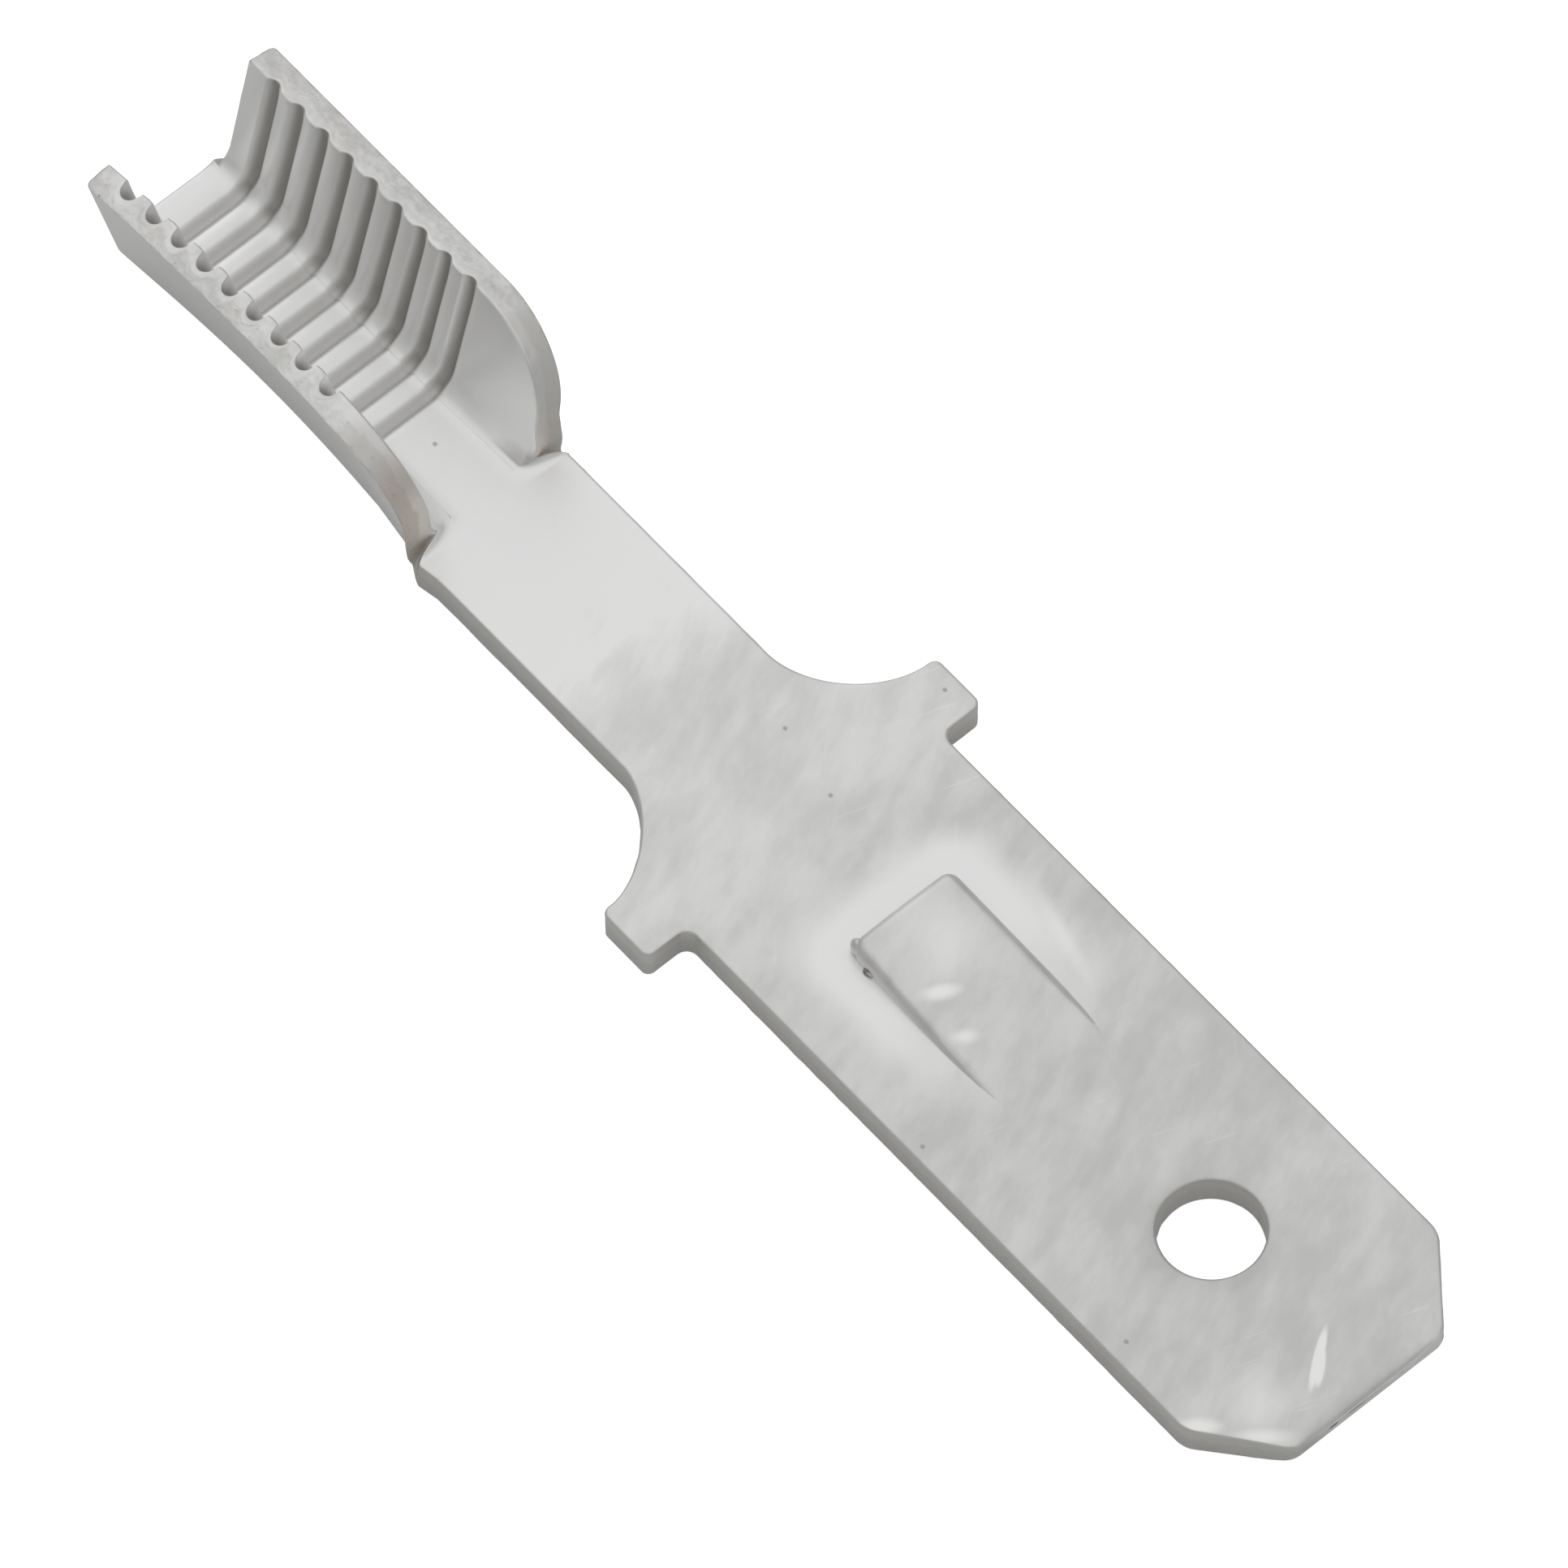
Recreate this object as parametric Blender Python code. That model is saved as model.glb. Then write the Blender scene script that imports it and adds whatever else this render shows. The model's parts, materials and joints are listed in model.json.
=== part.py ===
"""Male spade terminal: one stamped and folded sheet-metal piece.

The flat blank is cut to its outline, serrated, coined and folded, as the press does it.
+X runs from the crimp barrel to the tab's tip, +Z is the open side of the barrel, and the
origin is at the middle of the underside.
"""

import math

import bmesh
import bpy
from mathutils import Vector

MM = 0.001

# Sheet
SHEET_THICKNESS = 0.8 * MM
EDGE_ROUNDING = 0.06 * MM

# Tab
TAB_WIDTH = 6.3 * MM
TAB_LENGTH = 15.6 * MM
TIP_WIDTH = 3.7 * MM
TIP_CHAMFER_LENGTH = 1.6 * MM
TIP_THICKNESS = 0.6 * MM
LEAD_IN_LENGTH = 1.7 * MM
HOLE_DIAMETER = 2.12 * MM
HOLE_FROM_TIP = 4.4 * MM

# Rounded nose at the tip, whose top rolls down less at its two corners
NOSE_LENGTH = 0.6 * MM
NOSE_DROP = 0.34 * MM
NOSE_FOOT_RISE = 0.12 * MM
NOSE_CORNER_WIDTH = 0.9 * MM
NOSE_CORNER_DROP = 0.06 * MM

# Ears, which stop the tab in its receptacle
EAR_SPAN = 8.3 * MM
EAR_LENGTH = 1.32 * MM
EAR_CORNER_RADIUS = 0.18 * MM
EAR_ROOT_FILLET = 0.25 * MM
SHOULDER_RADIUS = 2.16 * MM

# Neck, from the ears' rear edge to the wings' front
NECK_WIDTH = 3.66 * MM
NECK_LENGTH = 8.1 * MM

# Crimp barrel
BARREL_LENGTH = 8.95 * MM
FLOOR_WIDTH = 1.55 * MM
FLOOR_WAIST = 0.12 * MM
BEND_RADIUS = 0.95 * MM
WING_HEIGHT = 3.69 * MM
WING_FLARE = math.radians(11.5)
WING_THICKNESS = 0.64 * MM
WING_TIP_THICKNESS = 0.6 * MM
INNER_BEND_RADIUS = 0.6 * MM
WING_SHOULDER_RADIUS = 1.95 * MM
WING_FRONT_RAKE = math.radians(6)
WING_ROOT_FILLET = 0.3 * MM
UNFOLD_BEHIND_ROOT = 0.15 * MM
UNFOLD_AHEAD_OF_ROOT = 0.4 * MM

# Stub left at the floor's rear where the terminal was cut off its carrier strip
CUT_OFF_LENGTH = 0.15 * MM
CUT_OFF_WIDTH = 3.4 * MM
CUT_OFF_CORNER_RADIUS = 0.5 * MM

# Serrations across the barrel's inside
SERRATION_COUNT = 9
SERRATION_PITCH = 0.714 * MM
SERRATION_FROM_REAR = 0.74 * MM
SERRATION_WIDTH = 0.42 * MM
SERRATION_FLOOR_WIDTH = 0.12 * MM
SERRATION_DEPTH = 0.16 * MM

# Locking lance, half sheared out of the tab
LANCE_FROM_TIP = 8.7 * MM
LANCE_LENGTH = 4.48 * MM
LANCE_REAR_WIDTH = 2.5 * MM
LANCE_FRONT_WIDTH = 2.76 * MM
LANCE_RISE = 0.5 * MM
LANCE_ROUNDING = 0.2 * MM
LANCE_POCKET_MARGIN = 0.1 * MM
LANCE_FOOT_DEPTH = 0.3 * MM

# Facets
CORNER_STEPS = 4
SHOULDER_STEPS = 12
WING_FRONT_STEPS = 12
HOLE_SIDES = 40
BEND_STEPS = 8
FILLET_STEPS = 2
WING_STEPS = 3
BARREL_STEPS = 8
UNFOLD_STEPS = 8
SERRATION_FLANK_STEPS = 3
EDGE_ROUNDING_STEPS = 2
LANCE_ROUNDING_STEPS = 4
NOSE_STEPS = 6
NOSE_CORNER_STEPS = 4

OVERALL_LENGTH = TAB_LENGTH + EAR_LENGTH + NECK_LENGTH + BARREL_LENGTH + CUT_OFF_LENGTH

# Stations along X
TIP_X = OVERALL_LENGTH / 2
EAR_FRONT_X = TIP_X - TAB_LENGTH
EAR_REAR_X = EAR_FRONT_X - EAR_LENGTH
WING_ROOT_X = EAR_REAR_X - NECK_LENGTH
REAR_X = WING_ROOT_X - BARREL_LENGTH
UNFOLD_START_X = WING_ROOT_X - UNFOLD_BEHIND_ROOT
UNFOLD_END_X = WING_ROOT_X + UNFOLD_AHEAD_OF_ROOT
LANCE_HINGE_X = TIP_X - LANCE_FROM_TIP

# The folded section, measured along the sheet's outer face from the middle of the floor
FOLD_ANGLE = math.pi / 2 - WING_FLARE
FOLD_START = FLOOR_WIDTH / 2
FOLD_END = FOLD_START + BEND_RADIUS * FOLD_ANGLE
WING_START_HEIGHT = BEND_RADIUS * (1 - math.cos(FOLD_ANGLE))
WING_EDGE = FOLD_END + (WING_HEIGHT - WING_START_HEIGHT) / math.cos(WING_FLARE)

# The fillet inside the bend: its centre, seen from the centre of the outer bend, and its two ends
FILLET_UP = INNER_BEND_RADIUS + SHEET_THICKNESS - BEND_RADIUS
FILLET_FROM_WING = BEND_RADIUS - WING_THICKNESS - INNER_BEND_RADIUS
FILLET_OUT = (FILLET_FROM_WING + FILLET_UP * math.cos(FOLD_ANGLE)) / math.sin(FOLD_ANGLE)
FILLET_START = FOLD_START + FILLET_OUT
FILLET_END = FOLD_END + FILLET_OUT * math.cos(FOLD_ANGLE) + FILLET_UP * math.sin(FOLD_ANGLE)


def clear_scene():
    for scene_object in list(bpy.data.objects):
        bpy.data.objects.remove(scene_object, do_unlink=True)


def new_collection(name):
    collection = bpy.data.collections.new(name)
    bpy.context.scene.collection.children.link(collection)
    return collection


def tin_plate():
    material = bpy.data.materials.new("tin_plate")
    material.use_nodes = True
    shader = material.node_tree.nodes["Principled BSDF"]
    shader.inputs["Base Color"].default_value = (0.62, 0.62, 0.60, 1.0)
    shader.inputs["Metallic"].default_value = 0.9
    shader.inputs["Roughness"].default_value = 0.42
    return material


def smooth_step(value):
    value = min(max(value, 0.0), 1.0)
    return value * value * (3 - 2 * value)


def between(start, end, steps):
    """Evenly spaced values from start to end, both included."""
    return [start + (end - start) * step / steps for step in range(steps + 1)]


def arc(center, radius, start, end, steps):
    """Points of an arc about center, from one angle to another."""
    return [
        (center[0] + radius * math.cos(angle), center[1] + radius * math.sin(angle))
        for angle in between(start, end, steps)
    ]


def ear_outline():
    """One ear's edge, from the tab round to the neck."""
    tab_y = TAB_WIDTH / 2
    corner_y = EAR_SPAN / 2 - EAR_CORNER_RADIUS
    shoulder_y = NECK_WIDTH / 2 + SHOULDER_RADIUS
    shoulder_start = math.asin((corner_y - shoulder_y) / SHOULDER_RADIUS)
    root_center = (EAR_FRONT_X + EAR_ROOT_FILLET, tab_y + EAR_ROOT_FILLET)
    front_center = (EAR_FRONT_X - EAR_CORNER_RADIUS, corner_y)
    rear_center = (EAR_REAR_X + EAR_CORNER_RADIUS, corner_y)
    shoulder_center = (EAR_REAR_X - SHOULDER_RADIUS, shoulder_y)
    edge = arc(root_center, EAR_ROOT_FILLET, math.pi * 1.5, math.pi, CORNER_STEPS)
    edge += arc(front_center, EAR_CORNER_RADIUS, 0, math.pi / 2, CORNER_STEPS)
    edge += arc(rear_center, EAR_CORNER_RADIUS, math.pi / 2, math.pi, CORNER_STEPS)
    edge += arc(shoulder_center, SHOULDER_RADIUS, shoulder_start, -math.pi / 2, SHOULDER_STEPS)
    return edge


def wing_outline():
    """One wing's edge in the flat, from the neck round to the stub at the rear."""
    neck_y = NECK_WIDTH / 2
    corner_reach = math.tan((math.pi / 2 - WING_FRONT_RAKE) / 2)
    root_center = (WING_ROOT_X + WING_ROOT_FILLET * corner_reach, neck_y + WING_ROOT_FILLET)
    front_top_x = WING_ROOT_X - (WING_EDGE - neck_y) * math.tan(WING_FRONT_RAKE)
    front_center = (front_top_x - WING_SHOULDER_RADIUS * corner_reach, WING_EDGE - WING_SHOULDER_RADIUS)
    stub_turn = math.acos(1 - CUT_OFF_LENGTH / CUT_OFF_CORNER_RADIUS)
    stub_center = (
        REAR_X - CUT_OFF_LENGTH + CUT_OFF_CORNER_RADIUS,
        CUT_OFF_WIDTH / 2 - CUT_OFF_CORNER_RADIUS * math.sin(stub_turn),
    )
    edge = arc(root_center, WING_ROOT_FILLET, math.pi * 1.5, math.pi + WING_FRONT_RAKE, CORNER_STEPS)
    edge += arc(front_center, WING_SHOULDER_RADIUS, WING_FRONT_RAKE, math.pi / 2, WING_FRONT_STEPS)
    edge += [(REAR_X, WING_EDGE)]
    edge += arc(stub_center, CUT_OFF_CORNER_RADIUS, math.pi - stub_turn, math.pi, CORNER_STEPS)
    return edge


def blank_half():
    """One long side of the flat blank, from the tip to the rear."""
    tip_corner = (TIP_X, TIP_WIDTH / 2)
    chamfer_end = (TIP_X - TIP_CHAMFER_LENGTH, TAB_WIDTH / 2)
    return [tip_corner, chamfer_end] + ear_outline() + wing_outline()


def sheet_from_outlines(name, outlines, material):
    """A sheet with rounded edges from flat outlines, of which all but the first are holes."""
    curve = bpy.data.curves.new(name, "CURVE")
    curve.dimensions = "2D"
    curve.fill_mode = "BOTH"
    curve.extrude = SHEET_THICKNESS / 2 - EDGE_ROUNDING
    curve.bevel_depth = EDGE_ROUNDING
    curve.bevel_resolution = EDGE_ROUNDING_STEPS - 1
    curve.offset = -EDGE_ROUNDING
    for outline in outlines:
        spline = curve.splines.new("POLY")
        spline.points.add(len(outline) - 1)
        for point, (x, y) in zip(spline.points, outline):
            point.co = (x, y, 0, 1)
        spline.use_cyclic_u = True
    guide = bpy.data.objects.new(name + "_outline", curve)
    guide.location.z = SHEET_THICKNESS / 2
    bpy.context.scene.collection.objects.link(guide)
    graph = bpy.context.evaluated_depsgraph_get()
    mesh = bpy.data.meshes.new_from_object(guide.evaluated_get(graph))
    mesh.name = name
    mesh.transform(guide.matrix_world)
    bpy.data.objects.remove(guide)
    work = bmesh.new()
    work.from_mesh(mesh)
    bmesh.ops.remove_doubles(work, verts=work.verts, dist=0.0005 * MM)
    bmesh.ops.recalc_face_normals(work, faces=work.faces)
    bmesh.ops.dissolve_limit(
        work, angle_limit=math.radians(0.5), verts=work.verts, edges=work.edges, delimit={"NORMAL"}
    )
    work.to_mesh(mesh)
    work.free()
    mesh.materials.clear()
    mesh.materials.append(material)
    return bpy.data.objects.new(name, mesh)


def serration_centers():
    first = REAR_X + SERRATION_FROM_REAR
    return [first + index * SERRATION_PITCH for index in range(SERRATION_COUNT)]


def serration_depth(x):
    """How deep the serrations are pressed at x: they have soft rims and a narrow floor."""
    distance = min(abs(x - center) for center in serration_centers())
    flank = (SERRATION_WIDTH - SERRATION_FLOOR_WIDTH) / 2
    return SERRATION_DEPTH * (1 - smooth_step((distance - SERRATION_FLOOR_WIDTH / 2) / flank))


def fold_share(x):
    """How much of the fold is closed at x: all of it in the barrel and none of it in the neck."""
    return 1 - smooth_step((x - UNFOLD_START_X) / (UNFOLD_END_X - UNFOLD_START_X))


def foot_waist(x):
    """How far the barrel's foot draws in at x: nothing at its two ends and most in the middle."""
    share = min(max((x - REAR_X) / BARREL_LENGTH, 0.0), 1.0)
    return FLOOR_WAIST * math.sin(math.pi * share)


def fillet_rise(past_tangent):
    """How far the fillet inside the bend stands off the flat that it leaves."""
    past_tangent = max(past_tangent, 0.0)
    return INNER_BEND_RADIUS - math.sqrt(INNER_BEND_RADIUS**2 - past_tangent**2)


def coined_thickness(x, along):
    """The sheet's thickness after coining, which thins the wings and fills the bend's inside."""
    if along <= FOLD_START:
        thickness = SHEET_THICKNESS + fillet_rise(along - FILLET_START)
    elif along <= FOLD_END:
        turn = (along - FOLD_START) / BEND_RADIUS
        towards = FILLET_OUT * math.sin(turn) - FILLET_UP * math.cos(turn)
        beyond = INNER_BEND_RADIUS**2 - FILLET_OUT**2 - FILLET_UP**2
        thickness = BEND_RADIUS - towards - math.sqrt(towards**2 + beyond)
    else:
        share = (along - FOLD_END) / (WING_EDGE - FOLD_END)
        thickness = WING_THICKNESS + (WING_TIP_THICKNESS - WING_THICKNESS) * share
        thickness += fillet_rise(FILLET_END - along)
    return SHEET_THICKNESS + (thickness - SHEET_THICKNESS) * fold_share(x)


def coined_height(x, along, height):
    """Height above the outer face, after the wings are thinned and the serrations pressed."""
    pressed = coined_thickness(x, along) - serration_depth(x)
    return height * pressed / SHEET_THICKNESS


def nose_roll(x, y, above_middle):
    """How far the nose rolls a point down, or up where it lies below the sheet's middle."""
    into_nose = min(max((x - TIP_X + NOSE_LENGTH) / NOSE_LENGTH, 0.0), 1.0)
    roll = 1 - math.sqrt(1 - into_nose * into_nose)
    from_corner = smooth_step((TIP_WIDTH / 2 - abs(y)) / NOSE_CORNER_WIDTH)
    drop = NOSE_CORNER_DROP + (NOSE_DROP - NOSE_CORNER_DROP) * from_corner
    reach = drop if above_middle > 0 else NOSE_FOOT_RISE
    return roll * reach * above_middle


def lead_in_height(x, y, height):
    """Height in the tab's wedge-shaped tip, whose end is a rounded nose."""
    share = (x - TIP_X + LEAD_IN_LENGTH) / LEAD_IN_LENGTH
    thickness = SHEET_THICKNESS + (TIP_THICKNESS - SHEET_THICKNESS) * share
    middle = SHEET_THICKNESS / 2
    above_middle = (height - middle) / middle
    return middle + above_middle * thickness / 2 - nose_roll(x, y, above_middle)


def formed(position):
    """Where a point of the flat blank lies after coining and folding."""
    x, y, height = position
    if x > TIP_X - LEAD_IN_LENGTH:
        return Vector((x, y, lead_in_height(x, y, height)))
    side = -1.0 if y < 0 else 1.0
    along = abs(y)
    rise = coined_height(x, along, height)
    share = fold_share(x)
    if along <= FOLD_START or share == 0:
        return Vector((x, y, rise))
    radius = BEND_RADIUS / share
    angle = min((along - FOLD_START) / radius, FOLD_ANGLE * share)
    straight = max(along - FOLD_END, 0.0)
    out = FOLD_START + radius * math.sin(angle) + straight * math.cos(angle) - rise * math.sin(angle)
    up = radius * (1 - math.cos(angle)) + straight * math.sin(angle) + rise * math.cos(angle)
    out -= foot_waist(x) * (1 - up / WING_HEIGHT)
    return Vector((x, side * out, up))


def bisect(work, faces, place, normal):
    edges = {edge for face in faces for edge in face.edges}
    verts = {vert for face in faces for vert in face.verts}
    geometry = list(verts) + list(edges) + list(faces)
    bmesh.ops.bisect_plane(work, geom=geometry, dist=0.0001 * MM, plane_co=place, plane_no=normal)


def cut_fold_lines(work):
    """Edges wherever the sheet bends, so that its faces can follow the fold."""
    across = between(FOLD_START, FOLD_END, BEND_STEPS) + between(FOLD_END, WING_EDGE, WING_STEPS)[1:-1]
    across += between(FILLET_START, FOLD_START, FILLET_STEPS)[:-1]
    across += between(FOLD_END, FILLET_END, FILLET_STEPS)[1:]
    for along in across:
        bisect(work, work.faces, (0, along, 0), (0, 1, 0))
        bisect(work, work.faces, (0, -along, 0), (0, 1, 0))
    lengthwise = between(REAR_X, UNFOLD_START_X, BARREL_STEPS)
    lengthwise += between(UNFOLD_START_X, UNFOLD_END_X, UNFOLD_STEPS)[1:]
    lengthwise.append(TIP_X - LEAD_IN_LENGTH)
    for x in lengthwise:
        bisect(work, work.faces, (x, 0, 0), (1, 0, 0))


def cut_serration_lines(work):
    """Edges along each serration's rims, flanks and floor, on the inside and the wings' edges only."""
    rim = SERRATION_WIDTH / 2
    floor = SERRATION_FLOOR_WIDTH / 2
    offsets = between(-rim, -floor, SERRATION_FLANK_STEPS) + between(floor, rim, SERRATION_FLANK_STEPS)
    for center in serration_centers():
        for offset in offsets:
            inside = [face for face in work.faces if face.calc_center_median().z > SHEET_THICKNESS / 4]
            bisect(work, inside, (center + offset, 0, 0), (1, 0, 0))


def cut_nose_lines(work):
    """Edges along and across the nose, close enough for it to roll over."""
    for turn in between(0, math.pi / 2, NOSE_STEPS)[:-1]:
        bisect(work, work.faces, (TIP_X - NOSE_LENGTH + NOSE_LENGTH * math.sin(turn), 0, 0), (1, 0, 0))
    for y in between(TIP_WIDTH / 2 - NOSE_CORNER_WIDTH, TIP_WIDTH / 2, NOSE_CORNER_STEPS):
        for side in (1, -1):
            nose = [face for face in work.faces if face.calc_center_median().x > TIP_X - NOSE_LENGTH]
            bisect(work, nose, (0, side * y, 0), (0, 1, 0))


def form_blank(blank):
    work = bmesh.new()
    work.from_mesh(blank.data)
    cut_fold_lines(work)
    cut_serration_lines(work)
    cut_nose_lines(work)
    for vertex in work.verts:
        vertex.co = formed(vertex.co)
    bmesh.ops.triangulate(work, faces=work.faces)
    work.to_mesh(blank.data)
    work.free()


def lance_wedge(name, lift, margin):
    """The lance's wedge: its top rises from the hinge near the tip to the sheared rear end."""
    slope = LANCE_RISE / LANCE_LENGTH
    rear_x = LANCE_HINGE_X - LANCE_LENGTH + margin
    front_x = LANCE_HINGE_X + LANCE_FOOT_DEPTH
    foot = lift - LANCE_FOOT_DEPTH
    work = bmesh.new()
    bmesh.ops.create_cube(work, size=1)
    for vertex in work.verts:
        at_front = vertex.co.x > 0
        at_top = vertex.co.z > 0
        x = front_x if at_front else rear_x
        width = LANCE_FRONT_WIDTH if at_front else LANCE_REAR_WIDTH
        top = lift + (LANCE_HINGE_X - x) * slope
        side = 1 if vertex.co.y > 0 else -1
        vertex.co = (x, side * (width / 2 - margin), top if at_top else foot)
    mesh = bpy.data.meshes.new(name)
    work.to_mesh(mesh)
    work.free()
    return bpy.data.objects.new(name, mesh)


def round_lance_edges(tongue):
    """Rounds the edges of the tongue's top, which the shear pulls down."""
    work = bmesh.new()
    work.from_mesh(tongue.data)
    foot = SHEET_THICKNESS - LANCE_FOOT_DEPTH
    top = [edge for edge in work.edges if all(vert.co.z > foot + EDGE_ROUNDING for vert in edge.verts)]
    bmesh.ops.bevel(
        work, geom=top, offset=LANCE_ROUNDING, segments=LANCE_ROUNDING_STEPS, profile=0.5, affect="EDGES"
    )
    work.to_mesh(tongue.data)
    work.free()


def apply_boolean(target, tool, operation):
    modifier = target.modifiers.new(tool.name, "BOOLEAN")
    modifier.operation = operation
    modifier.solver = "EXACT"
    modifier.object = tool
    graph = bpy.context.evaluated_depsgraph_get()
    baked = bpy.data.meshes.new_from_object(target.evaluated_get(graph))
    target.modifiers.clear()
    target.data = baked


def raise_lance(terminal, cutters):
    """Adds the tongue above the tab and takes the same wedge out of the tab's underside."""
    tongue = lance_wedge("lance_tongue", SHEET_THICKNESS, 0)
    round_lance_edges(tongue)
    pocket = lance_wedge("lance_pocket", 0, LANCE_POCKET_MARGIN)
    for tool, operation in ((tongue, "UNION"), (pocket, "DIFFERENCE")):
        tool.hide_render = True
        tool.display_type = "WIRE"
        cutters.objects.link(tool)
        apply_boolean(terminal, tool, operation)


def build_terminal(parts, cutters):
    half = blank_half()
    outline = half + [(x, -y) for x, y in reversed(half)]
    hole_center = (TIP_X - HOLE_FROM_TIP, 0)
    hole = arc(hole_center, HOLE_DIAMETER / 2, math.tau, math.tau / HOLE_SIDES, HOLE_SIDES - 1)
    terminal = sheet_from_outlines("spade_terminal", [outline, hole], tin_plate())
    parts.objects.link(terminal)
    form_blank(terminal)
    raise_lance(terminal, cutters)
    terminal.data.shade_smooth()
    terminal.data.set_sharp_from_angle(angle=math.radians(30))


def main():
    clear_scene()
    parts = new_collection("male_spade_terminal")
    cutters = new_collection("cutters")
    build_terminal(parts, cutters)


main()
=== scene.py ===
"""Finish and fine shape of a male spade terminal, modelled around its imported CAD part.

The terminal is one stamped and folded piece of tin-plated sheet. Its flat blank is laid out,
rounded, pierced and lanced with modelling operators, and then pressed and folded.
"""

import json
import math
from typing import NamedTuple

import bmesh
import bpy
from bpy.props import FloatProperty, FloatVectorProperty, IntProperty, PointerProperty
from bpy.types import Operator, Panel, PropertyGroup
from mathutils import Matrix, Vector, noise

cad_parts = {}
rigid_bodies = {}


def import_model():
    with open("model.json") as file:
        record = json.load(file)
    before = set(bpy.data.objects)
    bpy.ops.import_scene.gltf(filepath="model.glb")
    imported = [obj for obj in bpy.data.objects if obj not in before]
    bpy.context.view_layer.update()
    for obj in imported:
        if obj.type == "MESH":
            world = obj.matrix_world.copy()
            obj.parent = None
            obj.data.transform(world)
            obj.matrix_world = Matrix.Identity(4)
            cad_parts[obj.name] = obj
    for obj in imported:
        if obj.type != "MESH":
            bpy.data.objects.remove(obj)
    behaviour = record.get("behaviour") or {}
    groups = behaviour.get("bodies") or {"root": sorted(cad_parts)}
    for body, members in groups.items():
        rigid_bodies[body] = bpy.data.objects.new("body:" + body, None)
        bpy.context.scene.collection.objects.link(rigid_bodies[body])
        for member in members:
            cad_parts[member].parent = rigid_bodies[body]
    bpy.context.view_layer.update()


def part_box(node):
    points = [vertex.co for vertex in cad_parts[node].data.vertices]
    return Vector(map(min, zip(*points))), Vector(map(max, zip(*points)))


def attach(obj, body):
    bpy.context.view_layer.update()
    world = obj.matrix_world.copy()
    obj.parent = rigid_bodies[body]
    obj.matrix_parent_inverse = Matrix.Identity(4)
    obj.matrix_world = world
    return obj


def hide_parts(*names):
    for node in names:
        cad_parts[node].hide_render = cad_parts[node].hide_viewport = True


bl_info = {
    "name": "Male Spade Terminal",
    "version": (1, 0, 0),
    "blender": (4, 5, 0),
    "location": "3D View > Sidebar > Spade Terminal",
    "description": "Models a stamped and folded male spade terminal and the studio around it",
    "category": "Add Mesh",
}

MM = 0.001
NODE = "spade_terminal"
NEAR = 0.002 * MM

# Places of the small dark pits on the terminal's top, in millimetres
PITS = (
    (-9.55, 0.05),
    (-0.55, 1.0),
    (0.8, 3.8),
    (1.1, 0.7),
    (7.85, -2.9),
    (13.4, -2.75),
)


class Mark(NamedTuple):
    """An elliptical mark on the sheet, in millimetres, with its heading in degrees."""

    centre: tuple
    reach: tuple
    heading: float = 0
    firmness: float = 0.0
    height: float = 0.8


# Clear bright marks at the tip and on the lance's top: scratches at the tip, and painted highlights at the
# tip's corner and edge and on the lance's crest
FIRM_MARKS_AND_HIGHLIGHTS = {
    "tip scratch": Mark((15.97, -0.3), (0.8, 0.12), -54, firmness=0.6),
    "scratch foot": Mark((16.08, -0.36), (0.55, 0.13), -47, firmness=0.6),
    # Painted highlights at the tip's corner and edge
    "corner shine": Mark((15.6, -2.9), (0.6, 0.25), 50, firmness=0.2),
    "edge shine": Mark((16.5, -2.15), (0.9, 0.3), 50),
    # Painted highlights on the lance's crowned top
    "crest": Mark((5.75, -0.6), (0.6, 0.24), 62, firmness=0.2, height=1.2),
    "second crest": Mark((6.7, -0.85), (0.4, 0.22), 57, height=1.1),
}

# Faint rubbed patches beside the lance, at the tip and on the lance's rear
SOFT_MARKS = {
    "lance streak": Mark((6.2, 2.0), (1.5, 0.25), -14),
    "tip patch": Mark((15.95, -1.75), (1.0, 0.85), -60),
    "lance rear": Mark((4.9, 0.1), (1.5, 1.3), height=1.2),
}

# How far above and below its middle a mark reaches through the sheet, in millimetres
MARK_DEPTH = 0.75

# Turn in degrees and amount of the two sets of fine scratches
SCRATCHES = ((-71, 0.45), (40, 0.25))

# Steps in the rounded corners and edges
CORNER_STEPS = 6
ROOT_STEPS = 8
SHOULDER_STEPS = 28
WING_CORNER_STEPS = 4
STUB_CORNER_STEPS = 3
HOLE_SIDES = 96
TOP_EDGE_STEPS = 4
BURR_STEPS = 2
LANCE_EDGE_STEPS = 6

# Stretches that the blank is cut into, so that its faces follow the press
FLOOR_CUTS = 6
BEND_CUTS = 14
FILLET_CUTS = 5
WING_CUTS = 8
WING_TOP_CUTS = 4
NOSE_CUTS = 10
TAB_CUTS = 90
NECK_CUTS = 22
UNFOLD_CUTS = 12
REAR_END_CUTS = 5
FLANK_CUTS = 5
LAYERS = (0.12, 0.3, 0.5, 0.68, 0.82, 0.88)

# How far down from the wings' tops the bites, the faint grooves and the lobes reach
BITE_REACH = 0.5 * MM
FADE_REACH = 0.45 * MM
LOBE_REACH = 0.45 * MM
LOBE_BLEND = 0.35 * MM

# Unevenness of the grooves' depth, and how quickly it and the edges' wander change along the sheet
GROOVE_UNEVENNESS = 0.15
GROOVE_WAVES = (300, 500)
WANDER_WAVES = 3200

# The torn corner: how far ahead of the lance's rear the tear lies, and how far both are drawn out
TEAR_AHEAD = 0.55 * MM
TORN_STRETCH = (1.2, 0.9, 1.5)

# A face whose normal rises less than this belongs to a cut edge, or shows the sheared finish
CUT_SLOPE = 0.1
SHEARED_SLOPE = 0.6

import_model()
LOW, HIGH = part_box(NODE)


def length(name, description, millimetres):
    return FloatProperty(
        name=name, description=description, default=millimetres * MM, unit="LENGTH", precision=6
    )


def angle(name, description, degrees):
    return FloatProperty(
        name=name, description=description, default=math.radians(degrees), subtype="ANGLE"
    )


def share(name, description, value):
    return FloatProperty(
        name=name, description=description, default=value, min=0, max=1, subtype="FACTOR"
    )


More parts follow.
